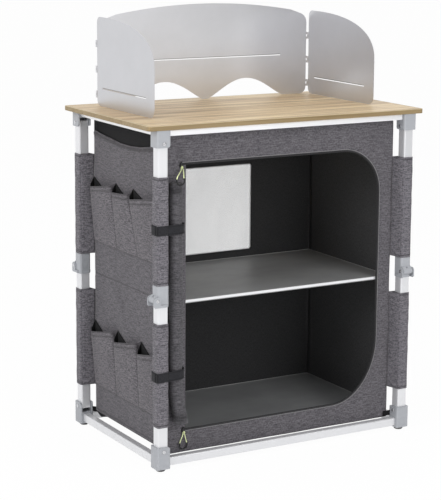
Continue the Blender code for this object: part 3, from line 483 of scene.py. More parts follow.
# Cabinet sides: a black lining, and over it a grey heather cloth that hangs a little lower at its middle. Two
# rows of three bellows pockets are stitched to it, and one long seam crosses it at the middle shelf.
def woven(name, dark, light, pitch, ribs, sheen=0.15):
    """A plain weave on the cut map. Threads across take their tone from a noise that is long across, threads
    upward from one that is long upward, and a chequer of the thread pitch says which of them lies on top."""
    cloth = Finish(name)
    dark, light = tone(*dark), tone(*light)
    u, v, _ = cloth.axes("cut")
    turn = math.pi / pitch
    across, upward = (u * turn).math("SINE"), (v * turn).math("SINE")
    over = (across * upward).step(-0.3, 0.3)
    weft = cloth.noise((140.0, 0.8 / pitch, 1.0), 1.0, kind="cut")
    warp = cloth.noise((0.8 / pitch, 140.0, 1.0), 1.0, kind="cut")
    heather = weft * (1.0 - over) + warp * over
    slub = cloth.noise((45.0, 320.0, 1.0), kind="cut")
    fade = cloth.noise((9.0, 9.0, 1.0), 3.0, 0.55, kind="cut")
    seam = cloth.node("ShaderNodeAttribute", {"attribute_name": "seam"}, {}, 2)
    stitch = seam.step(0.55, 0.8) * ((u + v) * 300.0).math("FRACT").step(0.2, 0.35)
    thread = abs(across) * over + abs(upward) * (1.0 - over)
    return cloth.done(
        Base_Color=cloth.layered(
            dark,
            ((heather + (slub - 0.5) * ribs).step(0.28, 0.72), light),
            (fade.step(0.35, 0.8) * 0.22, dark),
            # Darker on the seam marks: the stitched seams, and painted shade where the pockets mark the
            # crevices between them.
            (seam.step(0.0, 0.9) * 0.85, tuple(c * 0.30 for c in dark)),
            (stitch * 0.5, light),
        ),
        Roughness=heather * 0.12 + 0.80,
        Normal=cloth.raised(thread + slub * ribs * 0.8 + stitch * 0.8 - seam * 1.2, 0.00022, 0.75),
        Sheen_Weight=sheen,
        Sheen_Roughness=0.5,
        Specular_IOR_Level=0.25,
    )


heather_cloth = woven("grey heather cloth", (66, 64, 68), (116, 113, 118), 0.0014, 0.6)
pocket_cloth = woven("pocket cloth", (60, 58, 62), (126, 122, 127), 0.0019, 0.55)
black_lining = woven("black lining", (17, 17, 18), (32, 32, 34), 0.0009, 0.2, 0.03)
# The right side's inner lining and the back are the same black lining given lighter greys: painted light
# inside the cabinet.
lit_inner_lining = woven("dark inner lining", (58, 58, 59), (84, 84, 85), 0.0009, 0.2, 0.05)
lit_back_lining = woven("dark back lining", (42, 42, 43), (62, 62, 63), 0.0009, 0.2, 0.05)
CABINET_X, SIDE_HALF = 0.3425, 0.1975
HEM_Z, CLOTH_TOP, RAIL_Z = 0.0435, 0.8672, 0.8677


def hung(piece, slot_name, lean=(0.0, 0.0), towards=(0.0, 0.0), keep=0.10):
    """The piece rides the top frame, with a mesh of its own.
    Its lean, towards and keep are not used."""
    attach(piece, "top_frame")
    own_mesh(piece)
    return piece


def grid_of(*axes):
    """Points from their coordinates, each given for one point, a row, a column or the whole grid."""
    return np.stack(np.broadcast_arrays(*axes), axis=-1)


def facing(side, x, y, z):
    """A grid for the left side, or its mirror image for the right side, facing out of the cabinet."""
    points = grid_of(x, y, z)
    return points if side < 0 else points[:, ::-1] * (-1.0, 1.0, 1.0)


def ridge(distance, width):
    """A smooth hump round 0, that falls off as a bell curve of the given width."""
    return np.exp(-((distance / width) ** 2))


def ramp(value, start, run):
    """0 before a start, 1 after a run from it, and straight between them."""
    return np.clip((value - start) / run, 0, 1)


def marked(points, rows):
    """Seam marks for a grid: a value on each of the given rows, and 0 on the others."""
    marks = np.zeros(points.shape[:2])
    for row, value in rows.items():
        marks[row] = value
    return marks


def smoothed(line, times):
    """The line with every point but its ends drawn towards the middle of its neighbours, so many times."""
    line = line.copy()
    for _ in range(times):
        line[1:-1] = (line[:-2] + 2 * line[1:-1] + line[2:]) / 4
    return line


SHELF_SEAM, HEM_SEAM = 0.430, 0.0505


def side_panel(side, side_name):
    """The lining of one side, and its cloth: a rounded top edge, soft swells and creases, and sewn seams."""
    y = np.linspace(SIDE_HALF, -SIDE_HALF, 30)
    z = np.linspace(HEM_Z, CLOTH_TOP, 46)[:, None]
    swell = 0.0006 * np.sin(9 * z + 22 * y) + 0.0004 * np.sin(31 * z - 15 * y)
    grid = facing(side, -(CABINET_X - 0.0006 + swell), y, z)
    # The right side's lining, seen from inside, gets the lighter grey: painted light.
    finish = black_lining if side < 0 else lit_inner_lining
    lining = surface(f"{side_name}_lining", grid, finish, thickness=0.0012)
    hung(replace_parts(lining, f"{side_name}_panel"), "lining_fabric")

    edge_y = [-0.1975, -0.160, -0.120, -0.071, -0.015, 0.042, 0.100, 0.160, 0.178, 0.190, 0.1975]
    edge_z = [0.8240, 0.8180, 0.8110, 0.8035, 0.8000, 0.8005, 0.8063, 0.8122, 0.8154, 0.8166, 0.8100]
    y = np.linspace(SIDE_HALF, -SIDE_HALF, 58)
    seams = (SHELF_SEAM, HEM_SEAM)
    plain = [h for h in np.linspace(HEM_Z - 0.001, 0.820, 78) if all(abs(h - s) > 0.0045 for s in seams)]
    z = np.sort(plain + [s + d for s in seams for d in (-0.0026, 0.0, 0.0026)])[:, None]
    mark = np.isin(z, seams) + 0.0 * y
    mark[-2] = 0.7
    edge = np.interp(y, edge_y, edge_z)
    z = np.where(z < 0.74, z, 0.74 + (z - 0.74) / 0.08 * (edge - 0.74))
    out = 0.0016 + 0.0022 * ridge(z - 0.675, 0.045) + 0.0018 * ridge(z - 0.275, 0.04)
    out = out + 0.0012 * np.sin(math.pi * (y + SIDE_HALF) / (2 * SIDE_HALF)) * ridge(z - 0.76, 0.05)
    for slope, base, deep, width in (
        (1.35, 0.560, 0.0017, 0.011), (1.05, 0.500, 0.0014, 0.013),
        (0.72, 0.430, 0.0012, 0.012), (1.7, 0.640, 0.0012, 0.010),
    ):
        crease = (z - base + slope * (SIDE_HALF - y)) / math.hypot(1.0, slope)
        out = out + deep * ridge(crease, width) * ramp(-z, -0.425, 0.02) * ramp(z, 0.13, 0.05)
    out = out + 0.0009 * ridge((z - 0.765) + 0.35 * (y - 0.02), 0.012) - 0.0007 * ridge(z - SHELF_SEAM, 0.005)
    out = out + 0.0018 * ramp(z, edge - 0.010, 0.010) * ridge(y - 0.18, 0.05)
    cover = surface(f"{side_name}_side_cloth", facing(side, -(CABINET_X + out), y, z), heather_cloth,
                    thickness=0.0008, seam=mark)
    hung(cover, "heather_fabric")


FOLD = 0.16  # the share of a pocket's width that its bellows take at each side


def across_pocket(t, rear_fold, face, front_fold):
    """Values across a pocket: its rear bellows, its face and its front bellows, with the bends eased."""
    values = np.where(t < FOLD, rear_fold, np.where(t > 1 - FOLD, front_fold, face))
    return smoothed(values.T, 2).T


def pocket_row(side, side_name, row_name, slope, seam_z, low_bounds, high_bounds, rims, apex):
    """Three bellows pockets sewn on in one piece: each stands out more towards its rim, with dark bellows at
    its sides and a gusset behind. The bounds are their limits in Y at the bottom stitching and at the rim,
    the rims each pocket's rear and front height, and the apex the height where the bellows meet."""
    share = np.concatenate([[-0.014, 0.0, 0.012], np.linspace(0.04, 1.0, 25)])[:, None]
    lean = np.clip(share, 0, 1)
    bounds = [low + (high - low) * lean for low, high in zip(low_bounds, high_bounds)]
    tuck = 0.0015 + 0.0035 * lean
    stand = 0.0008 + 0.0188 * lean ** 0.92
    near = 0.0006
    t = np.linspace(0.0, 1.0, 33)
    run = (t - FOLD) / (1 - 2 * FOLD)
    columns, walls, gussets = [], [], []
    for number, (rear_rim, front_rim) in enumerate(rims):
        rear, front = bounds[number], bounds[number + 1]
        slack = stand * (1 - 0.5 * ramp(run, 0.45, 0.55) ** 2 * (1.1 - lean))
        last = slack[:, 27:28]
        belly = 0.0028 * np.sin(math.pi * np.clip(run, 0, 1)) * lean * (1.3 - share)
        out = across_pocket(t, near + (stand - near) * t / FOLD + belly, slack + belly,
                            last + (near - last) * (t - 1 + FOLD) / FOLD + belly)
        y = across_pocket(t, rear - tuck * t / FOLD, rear - tuck - (rear - front - 2 * tuck) * run,
                          front + tuck * (1 - t) / FOLD)
        top = across_pocket(t, apex + (rear_rim - apex) * t / FOLD, rear_rim + (front_rim - rear_rim) * run,
                            front_rim + (apex - front_rim) * (t - 1 + FOLD) / FOLD)
        z = seam_z + (top - seam_z) * share
        ripple = 0.0007 * np.sin(26 * z / 0.16 + 5 * number) * np.sin(math.pi * t) * lean
        end = None if number == 2 else -1
        columns.append(grid_of(-(CABINET_X + 0.0030 + out + ripple), y, z)[:, :end])
        walls.append((t < 0.13)[:end])
        q = np.linspace(0.0, 1.0, 10)
        crown = rear_rim - 0.006 + (apex - rear_rim + 0.006) * (1 - q) ** 1.25
        y = high_bounds[number] - 0.001 - 0.62 * (high_bounds[number] - high_bounds[number + 1]) * q
        gussets.append((y, crown - 0.030 * np.linspace(1.0, 0.0, 6)[:, None]))
    grid = np.concatenate(columns, axis=1)
    wall = np.concatenate(walls)
    mask = np.repeat((wall[:-1] & wall[1:])[None, :], len(grid) - 1, axis=0)
    mark = marked(grid, {1: 1.0, -3: 0.55 * (~wall), -1: 0.9})
    # Painted shade: the cloth is darkened on the marks along the crevices between neighbouring pockets.
    for first in (32, 64):
        mark[1:-1, first - 5: first + 6] = np.maximum(0.0, 1.0 - np.abs(np.arange(-5, 6)) / 7.0)
    if side > 0:
        grid, mask, mark = grid[:, ::-1] * (-1.0, 1.0, 1.0), mask[:, ::-1], mark[:, ::-1]
    pocket = surface(f"{side_name}_{row_name}_pockets", grid, pocket_cloth, thickness=0.0010, seam=mark,
                     second=(black_lining, mask))
    hung(pocket, "heather_fabric", lean=(-side * slope, 0.0))
    for number, (y, z) in enumerate(gussets):
        grid = facing(side, -(CABINET_X + 0.0052), y, z)
        name = f"{side_name}_{row_name}_gusset_{number + 1}"
        hung(surface(name, grid, black_lining, thickness=0.0006), "lining_fabric")


for side, side_name in ((-1, "left"), (1, "right")):
    side_panel(side, side_name)
    pocket_row(side, side_name, "upper", 0.060, 0.518, (0.1972, 0.061, -0.058, -0.1972),
               (0.1932, 0.063, -0.036, -0.1972), ((0.667, 0.686), (0.671, 0.678), (0.667, 0.691)), 0.693)
    pocket_row(side, side_name, "lower", 0.036, 0.120, (0.1972, 0.067, -0.064, -0.1972),
               (0.1932, 0.056, -0.080, -0.1972), ((0.270, 0.296), (0.271, 0.296), (0.271, 0.291)), 0.300)


# Front of the cabinet: one piece of the same heather cloth round the door opening, lined black inside. It
# hangs from the front rail with a band seam under it, and puckers a little where the zip is sewn round.
def bow(centre, radius, start, end, count):
    """Points on an arc, from one angle to another in degrees."""
    angle = np.radians(np.linspace(start, end, count))
    return np.stack([centre[0] + radius * np.cos(angle), centre[1] + radius * np.sin(angle)], axis=-1)


OPEN_LEFT, OPEN_RIGHT, OPEN_LOW, OPEN_HIGH = -0.284, 0.298, 0.0915, 0.775
FRONT_Y, FRONT_HALF = -0.2012, 0.3425
turn = np.radians(np.linspace(0.0, 90.0, 15))
low_corner = grid_of(OPEN_RIGHT - 0.135 * (1 - np.cos(turn)), OPEN_LOW + 0.170 * (1 - np.sin(turn)))
free_edge = np.concatenate([bow((OPEN_RIGHT - 0.112, OPEN_HIGH - 0.112), 0.112, 90, 0, 15), low_corner])
door_edge = np.concatenate([[(OPEN_LEFT, OPEN_HIGH)], free_edge, [(OPEN_LEFT, OPEN_LOW)]])


def ring_cloth(name, inner, low, y, faces_front, relief, finish, **extra):
    """Cloth between an opening and the rectangle round it: for each direction from the opening's middle, a
    straight run from the rectangle's edge to the opening's edge, both found along that direction."""
    middle = (inner.max(axis=0) + inner.min(axis=0)) / 2
    lowest, highest = np.array([-FRONT_HALF, low]), np.array([FRONT_HALF, CLOTH_TOP])
    box = np.array([lowest, (highest[0], low), highest, (lowest[0], CLOTH_TOP)])

    def angle_of(points):
        return np.arctan2(points[:, 1] - middle[1], points[:, 0] - middle[0]) % (2 * np.pi)

    even = np.linspace(0, 2 * np.pi, 168, endpoint=False)
    angles = np.unique(np.round(np.concatenate([even, angle_of(box), angle_of(inner)]), 5))
    dense = np.concatenate([np.linspace(a, b, 40, endpoint=False) for a, b in
                            zip(inner, np.roll(inner, -1, axis=0))])
    order = np.argsort(angle_of(dense))
    reach_in = np.interp(angles, angle_of(dense)[order],
                         np.linalg.norm(dense - middle, axis=1)[order], period=2 * np.pi)
    way = np.stack([np.cos(angles), np.sin(angles)], axis=-1)
    limits = np.where(way > 0, highest - middle, middle - lowest)
    reach_out = np.min(limits / np.maximum(np.abs(way), 1e-9), axis=1)
    share = np.concatenate([[0.0], np.linspace(0.04, 0.96, 12), [1.0]])[:, None]
    reach = reach_out + (reach_in - reach_out) * share
    flat = middle + reach[..., None] * way
    x, z = flat[..., 0], flat[..., 1]
    points, cut = grid_of(x, y + relief(x, z), z), grid_of(x, z)
    mark = marked(points, {0: 0.5, -1: 0.4})
    if not faces_front:
        points, cut, mark = points[:, ::-1], cut[:, ::-1], mark[:, ::-1]
    cut = np.concatenate([cut, cut[:, :1]], axis=1)
    return surface(name, points, finish, around=True, cut=cut, seam=mark, **extra)


def folds(x, z, far, places):
    """Straight folds that fade out within a distance of their places. Each has its place and its direction
    across in X and Z, its depth and its width."""
    return sum(
        deep * ridge((x - px) * nx + (z - pz) * nz, wide) * ridge(x - px, far) * ridge(z - pz, far)
        for px, pz, nx, nz, deep, wide in places
    )


def front_relief(x, z):
    """Soft standing folds in the head band, slack at the right edge, and pulls towards the round corners."""
    head = ramp(z, 0.785, 0.02) * ramp(-z, -0.866, 0.02)
    wave = 0.0011 * np.sin(17 * x + 1.0) * np.sin(60 * (z - 0.79))
    wave = wave + 0.0008 * ridge(z - 0.822 - 0.05 * x, 0.007)
    pull = folds(x, z, 0.06, (
        (0.30, 0.80, 0.75, 0.66, 0.0022, 0.010), (0.325, 0.76, 0.9, 0.43, 0.0018, 0.008),
        (0.27, 0.83, 0.5, 0.86, 0.0016, 0.009), (0.31, 0.13, 0.8, -0.6, 0.0018, 0.010),
        (-0.30, 0.81, -0.7, 0.7, 0.0014, 0.010),
    ))
    side = 0.0010 * np.sin(26 * z) * ramp(x, 0.305, 0.02)
    hem = 0.0008 * np.sin(31 * x + 0.4) * ramp(-z, -0.080, 0.02)
    return -(head * wave + pull + side + hem)


front = ring_cloth("front_cloth", door_edge, 0.0312, FRONT_Y, True, front_relief, heather_cloth,
                   thickness=0.0022)
front.data.materials.append(black_lining)
front.modifiers["wall"].material_offset = 1
hung(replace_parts(front, "front_panel"), "heather_fabric")


# Zip: a woven tape sewn round three sides of the door opening, a black coil along its inner edge, and a pale
# piping cord along its outer edge.
def tube(name, path, radius, finish, sides=8, closed=False):
    """A round cord along a path: at each point a circle square to the path, whose first spoke is carried on
    from the point before and set square again, so it doesn't twist."""
    path = np.asarray(path, float)
    run = np.roll(path, -1, axis=0) - np.roll(path, 1, axis=0)
    if not closed:
        run[0], run[-1] = path[1] - path[0], path[-1] - path[-2]
    run /= np.linalg.norm(run, axis=1)[:, None]
    spoke = np.cross(run[0], (0.31, 0.17, 0.93))
    spokes = []
    for way in run:
        spoke = spoke - way * (spoke @ way)
        spoke = spoke / np.linalg.norm(spoke)
        spokes.append(spoke)
    spokes = np.array(spokes)
    others = np.cross(run, spokes)
    angle = np.linspace(0, 2 * np.pi, sides, endpoint=False)[None, :, None]
    points = path[:, None] + radius * (np.cos(angle) * spokes[:, None] + np.sin(angle) * others[:, None])
    if closed:
        points = np.concatenate([points, points[:1]])
    return surface(name, points, finish, around=True, capped=not closed)


def evened(points, step, closed=False):
    """The same line with its points a given step apart."""
    points = np.asarray(points, float)
    if closed:
        points = np.concatenate([points, points[:1]])
    length = np.append(0.0, np.cumsum(np.linalg.norm(np.diff(points, axis=0), axis=1)))
    places = np.linspace(0.0, length[-1], max(2, int(round(length[-1] / step)) + 1))
    line = np.stack([np.interp(places, length, points[:, k]) for k in range(points.shape[1])], axis=-1)
    return line[:-1] if closed else line


def beside(line, distance):
    """The flat line moved sideways to its left by a distance."""
    run = np.gradient(line, axis=0)
    run /= np.linalg.norm(run, axis=1)[:, None]
    return line + distance * np.stack([-run[:, 1], run[:, 0]], axis=-1)


def stood(line, y):
    """The flat line in X and Z, at a place in Y."""
    return grid_of(line[:, 0], y, line[:, 1])


coil = Finish("zip coil")
_, along, _ = coil.axes("cut")
teeth = (along * 4200.0).math("SINE") * 0.5 + 0.5
zip_black = coil.done(
    Base_Color=coil.between(teeth, tone(16, 16, 17), tone(46, 46, 48)),
    Roughness=teeth * 0.2 + 0.4,
    Normal=coil.raised(teeth, 0.0003, 0.8),
)
tape_cloth = woven("zip tape", (52, 51, 54), (88, 86, 90), 0.0008, 0.3, 0.1)
piping_cloth = woven("pale piping", (120, 119, 121), (158, 157, 158), 0.0007, 0.2, 0.1)
zip_line = evened(np.concatenate([[(-0.301, OPEN_HIGH)], free_edge, [(-0.295, OPEN_LOW)]]), 0.004)
zip_line = smoothed(zip_line, 6)
profile = [(-0.0014, 0.0006), (-0.0006, -0.0010), (0.0018, -0.0012), (0.0034, -0.0011), (0.0048, -0.0010)]
grid = np.stack([stood(beside(zip_line, offset), FRONT_Y + rise) for offset, rise in profile])
hung(surface("zip_tape", grid, tape_cloth, thickness=0.0006), "heather_fabric")
coil_path = stood(beside(zip_line, 0.0002), FRONT_Y - 0.0016)
hung(tube("zip_coil", coil_path, 0.0019, zip_black), "lining_fabric")
piping_path = stood(beside(zip_line, 0.0048), FRONT_Y - 0.0012)
hung(tube("zip_piping", piping_path, 0.0009, piping_cloth), "heather_fabric")


# Back of the cabinet: black lining cloth with a window of pale mesh sewn over an opening in it. The mesh is
# bound all round with a narrow white tape.
def rounded_box(middle, half, corner, count):
    """Points round a rectangle with round corners, anticlockwise, so many on each corner."""
    inner = np.array(half) - corner
    return np.concatenate([
        bow((middle[0] + sx * inner[0], middle[1] + sy * inner[1]), corner, start, start + 90, count)
        for sx, sy, start in ((1, 1, 0), (-1, 1, 90), (-1, -1, 180), (1, -1, 270))
    ])


WINDOW_Z = 0.5697
window = rounded_box((0.0, WINDOW_Z), (0.143, 0.121), 0.004, 4)


def back_relief(x, z):
    """Long shallow folds that fan out from the window's corners, and slack below it."""
    fan = folds(x, z, 0.12, (
        (0.20, 0.40, 0.7, 0.7, 0.0016, 0.012), (-0.20, 0.40, -0.7, 0.7, 0.0016, 0.012),
        (0.2, 0.74, 0.6, -0.8, 0.0016, 0.012),
    ))
    slack = 0.0014 * np.sin(21 * x) * ridge(z - 0.22, 0.10) + 0.0010 * np.sin(13 * x + 9 * z)
    return fan + slack * ramp(z, 0.06, 0.03) * ramp(-z, -0.86, 0.03)


# The back's lining gets a lighter grey than the black lining: painted light.
back = ring_cloth("back_cloth", window, 0.0432, 0.2004, False, back_relief, lit_back_lining, thickness=0.0018)
hung(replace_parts(back, "back_panel"), "lining_fabric")

net = Finish("window mesh")
u, v, _ = net.axes("cut")
cell = math.pi / 0.0016
holes = abs((u * cell).math("SINE")).math("MINIMUM", abs((v * cell).math("SINE"))).step(0.10, 0.35)
veil = net.noise((7.0, 3.5, 1.0), 3.0, 0.55, 0.6, "cut").step(0.3, 0.75)
net_white = net.done(
    Base_Color=net.between(veil, tone(238, 239, 240), tone(206, 208, 211)),
    Roughness=0.6,
    Alpha=1.0 - holes * 0.85,
    Normal=net.raised(holes, 0.0002, 0.4),
)
x = np.linspace(0.151, -0.151, 40)
z = np.linspace(WINDOW_Z - 0.129, WINDOW_Z + 0.129, 34)[:, None]
sag = 0.0007 * np.sin(30 * x + 14 * z) * ridge(x, 0.12) * ridge(z - WINDOW_Z, 0.11)
screen = surface("window_net", grid_of(x, 0.2019 + sag, z), net_white, thickness=0.0003)
hung(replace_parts(screen, "mesh_window"), "window_mesh")
white_tape = woven("white binding", (196, 197, 199), (228, 229, 231), 0.0008, 0.2, 0.1)
edge_path = stood(evened(window, 0.006, closed=True) * (0.99, 1.0), 0.1985)[::-1]
hung(tube("window_binding", edge_path, 0.0013, white_tape, 6, closed=True), "window_mesh")


# Rolled door: the whole door panel, 0.61 m wide, rolled up on itself and laid along the opening's left edge,
# where it is sewn on. It is squeezed where the straps hold it and opens out towards its lower end.
ROLL_X, ROLL_Y, STRAP_HIGH, STRAP_LOW = -0.3235, -0.2225, 0.6197, 0.2470
TURNS, CORE, ROLL = 8.6, 0.0028, 0.0176
# The door's cloth is a darker copy of the heather: painted shade on the roll.
shaded_door_cloth = woven("door cloth", (56, 55, 58), (98, 96, 100), 0.0015, 0.8)
s = np.linspace(0.0, 1.0, int(TURNS * 20))
angle = math.pi / 2 + 2 * math.pi * TURNS * (1 - s)
by_straps = [strap + step for strap in (STRAP_HIGH, STRAP_LOW) for step in (-0.018, -0.013, 0.013, 0.018)]
z = np.unique(np.append(np.linspace(0.1170, 0.7345, 34), by_straps))[:, None]
held = ridge(z - STRAP_HIGH, 0.02) + ridge(z - STRAP_LOW, 0.02)
loose = 1.0 - 0.045 * held + 0.07 * ramp(-z, -0.21, 0.09) - 0.05 * ramp(z, 0.70, 0.035)
lobes = 1.0 - 0.03 * np.cos(3 * angle + 0.6 + 1.2 * z) * s - 0.012 * np.sin(7 * angle + 40 * z) * s
radius = (CORE + (ROLL - CORE) * s) * loose * np.minimum(lobes, 1.02)
stray = ROLL_X + 0.017 * ramp(-z, -0.225, 0.11) ** 1.3 + 0.002 * ridge(z - 0.42, 0.10)
spiral = grid_of(stray + radius * np.cos(angle), ROLL_Y + radius * np.sin(angle), z)
tail = grid_of(stray + [0.003, 0.006, 0.009, 0.0115], [-0.2046, -0.2041, -0.2034, -0.2030], z)
grid = np.concatenate([spiral, tail], axis=1)[:, ::-1]
mark = marked(grid, {1: 0.6, -2: 0.6})
roll = surface("door_roll", grid, shaded_door_cloth, thickness=0.0011, offset=0.0, seam=mark)
tucked = {"lean": (0.20, 0.31), "towards": (ROLL_X, ROLL_Y), "keep": 0.03}
hung(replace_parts(roll, "rolled_door"), "heather_fabric", **tucked)


# Ties: bands of dark woven tape round the left front leg and the rolled door, overlapped and fastened at the
# leg's left side. Each has a bound edge, and a second layer where its end lies.
webbing = woven("tie webbing", (32, 32, 35), (48, 48, 52), 0.0012, 0.2, 0.06)
TIE_HALF = 0.0123


def band_line(gap):
    """The line of a band drawn round the leg's sleeve and the roll, a gap away from both."""
    half, soft = 0.0161, 0.004
    front = bow((-LEG_X - half + soft, -LEG_Y - half + soft), soft + gap, 180, 270, 5)
    round_roll = bow((ROLL_X, ROLL_Y), 0.0197 + gap, 268, 452, 22)
    rear = bow((-LEG_X - half + soft, -LEG_Y + half - soft), soft + gap, 90, 180, 5)
    return np.concatenate([front, round_roll, rear])


def outwards(line, middle):
    """For each point of a flat line, the direction away from a middle."""
    away = line - middle
    return away / np.linalg.norm(away, axis=1)[:, None]


line = evened(band_line(0.0014), 0.0035, closed=True)
leg = np.array([-LEG_X, -LEG_Y])
lap = line[(line[:, 0] < -LEG_X - 0.004) | ((line[:, 1] < -0.237) & (line[:, 0] < -LEG_X + 0.012))]
lap = lap[np.argsort(np.unwrap(np.arctan2(*(lap - leg).T[::-1]) % (2 * np.pi)))]
lap = lap + 0.0011 * outwards(lap, leg)
out = outwards(line, (leg + (ROLL_X, ROLL_Y)) / 2)
for name, node, middle_z, slope in (
    ("upper_tie", "upper_strap", STRAP_HIGH, 0.04), ("lower_tie", "lower_strap", STRAP_LOW, 0.16)
):
    across = np.linspace(-TIE_HALF, TIE_HALF, 9)[:, None]
    pinch = 0.0005 * np.cos(math.pi * across / TIE_HALF)
    grid = grid_of(line[:, 0] - pinch * out[:, 0], line[:, 1] - pinch * out[:, 1],
                   middle_z + across + slope * 0.3 * (line[:, 0] + LEG_X))
    tie = surface(name, grid, webbing, around=True, thickness=0.0012, seam=marked(grid, {1: 0.5, -2: 0.5}))
    hung(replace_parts(tie, node), "sleeve_fabric", **tucked)
    across = np.linspace(-0.0115, 0.0115, 7)[:, None]
    grid = grid_of(lap[:, 0], lap[:, 1], middle_z + across + slope * 0.3 * (lap[:, 0] + LEG_X))
    mark = marked(grid.transpose(1, 0, 2), {1: 0.9, -2: 0.9}).T
    hung(surface(f"{name}_end", grid, webbing, thickness=0.0010, seam=mark), "sleeve_fabric", **tucked)


# Sleeves: tubes of heather cloth sewn round the leg halves, gathered slightly, with a hem at each end. Two
# flaps of it join each sleeve to the cabinet's corner. The cabinet's hem has a short black tab at each
# corner, and a triangle of lining that hangs out at the rear ones.
# The sleeves' cloth is a lighter copy of the heather: painted light.
lit_sleeve_cloth = woven("sleeve cloth", (68, 66, 71), (130, 127, 133), 0.0018, 0.7)
SLEEVE_HALF, FLAP_NEAR, FLAP_FAR = 0.0160, 0.0157, 0.0105
SLEEVE_LINE = rounded_box((0.0, 0.0), (SLEEVE_HALF, SLEEVE_HALF), 0.0050, 6)
SLEEVE_LINE = evened(SLEEVE_LINE, SLEEVE_HALF / 5, closed=True)


def sleeve_and_flaps(body, side, depth, low, high, phase):
    """The sleeve of one leg half, between two heights, and its two flaps from the cabinet's corner."""
    hems = [low + 0.002, low + 0.009, high - 0.009, high - 0.002]
    z = np.unique(np.append(np.linspace(low, high, 44), hems))[:, None]
    turn = np.arctan2(SLEEVE_LINE[:, 1], SLEEVE_LINE[:, 0])
    inside = ramp(np.minimum(z - low, high - z), 0.0, 0.012)
    wrinkle = 0.00028 * np.sin(150 * z + 2 * turn + phase) * np.sin(3 * turn + phase + 11 * z)
    wrinkle = wrinkle + 0.0002 * np.sin(61 * z + phase) - 0.0002 * (1 - inside)
    grow = 1.0 + (wrinkle * 0.9 - 0.0001) / SLEEVE_HALF
    grid = grid_of(side * LEG_X + SLEEVE_LINE[:, 0] * grow, depth * LEG_Y + SLEEVE_LINE[:, 1] * grow, z)
    sleeve = surface(f"{body}_lit_sleeve_cloth", grid, lit_sleeve_cloth, around=True, thickness=0.0011,
                     seam=marked(grid, {2: 0.7, -3: 0.7}))
    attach(sleeve, body)
    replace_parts(sleeve, f"{body}_sleeve")
    t = np.linspace(0.0, 1.0, 9)
    z = np.linspace(low + 0.001, high - 0.001, 30)[:, None]
    start = np.array([side * 0.3426, depth * 0.2008])
    for number, (out_x, out_y) in enumerate(((-FLAP_NEAR, FLAP_FAR), (FLAP_FAR, -FLAP_NEAR))):
        run = np.array([side * (LEG_X + out_x), depth * (LEG_Y + out_y)]) - start
        normal = np.array([run[1], -run[0]]) / np.linalg.norm(run) * side * depth * (1 if number else -1)
        bend = 0.0011 * np.sin(math.pi * t) * (1 + 0.6 * np.sin(31 * z + phase))
        grid = grid_of(start[0] + run[0] * t + bend * normal[0], start[1] + run[1] * t + bend * normal[1], z)
        flap = surface(f"{body}_flap_{number + 1}", grid, lit_sleeve_cloth, thickness=0.0008, offset=0.0)
        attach(flap, body)
        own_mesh(flap)


for corner, (side, depth) in CORNERS.items():
    phase = side * 1.3 + depth * 0.7
    sleeve_and_flaps(f"{corner}_lower", side, depth, 0.1160, 0.3835, phase)
    sleeve_and_flaps(f"{corner}_upper", side, depth, 0.4812, 0.7522, phase + 2.0)
    t = np.linspace(0.0, 1.0, 8)
    z = np.linspace(0.0340, 0.0480, 6)[:, None]
    y = depth * (0.2035 + 0.0075 * t + 0.0012 * np.sin(math.pi * t))
    grid = grid_of(side * (0.3300 + 0.0220 * t), y, z + 0.004 * t)
    hung(surface(f"{corner}_hem_tab", grid, black_lining, thickness=0.0010, offset=0.0), "lining_fabric")
    if depth > 0:
        y = np.linspace(0.1900, 0.1220, 9)
        foot = 0.0440 - 0.0125 * np.clip(1 - np.abs(y - 0.168) / np.where(y > 0.168, 0.030, 0.046), 0, 1)
        grid = facing(side, -0.3440, y, 0.0465 + (foot - 0.0465) * np.linspace(1.0, 0.0, 6)[:, None])
        hung(surface(f"{corner}_hem_triangle", grid, black_lining, thickness=0.0008), "lining_fabric")


# Shelves: stiff boards covered with satin grey sheet, with a bright aluminium strip pressed on their front
# edge and a grey binding along their rear and right edges.
laminate = Finish("satin grey laminate")
pebble = laminate.noise(900.0, 2.0, 0.6)
haze = laminate.noise((6.0, 9.0, 6.0), 3.0, 0.55)
laminate_grey = laminate.done(
    Base_Color=laminate.between(haze.step(0.3, 0.8), tone(146, 147, 148), tone(132, 133, 134)),
    Roughness=haze * 0.10 + pebble * 0.08 + 0.34,
    Specular_IOR_Level=0.3,
    Normal=laminate.raised(pebble, 0.00008, 0.5),
)
edge_bright = grained("bright edge strip", ((4.0, 900.0, 900.0), 2.0, 0.5), (246, 247, 248),
                      (226, 227, 230), (0.12, 0.28), 0.4)
edge_grey = grained("grey edge binding", (500.0, 2.0, 0.5), (150, 150, 150), (176, 176, 176), (0.1, 0.4))
for name, top, strip in (("middle_shelf", 0.4270, 0.0056), ("bottom_shelf", 0.0570, 0.0026)):
    dressed(name, laminate_grey)
    section = np.array([(-0.1972, 0.0007), (-0.1981, 0.0006), (-0.1986, 0.0), (-0.1986, -strip),
                        (-0.1980, -strip - 0.0007), (-0.1974, -strip - 0.0005)])[::-1]
    grid = grid_of(np.linspace(-0.3340, 0.3340, 60), section[:, :1], top + section[:, 1:])
    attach(surface(f"{name}_front_strip", grid, edge_bright, thickness=0.0005), name)
    line = np.concatenate([[(-0.3300, 0.1952)], bow((0.3330, 0.1892), 0.006, 90, 0, 6), [(0.3390, -0.1800)]])
    line = evened(line, 0.006)
    path = grid_of(line[:, 0], line[:, 1], top + 0.0004)
    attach(tube(f"{name}_edge_line", path, 0.0008, edge_grey, 6), name)


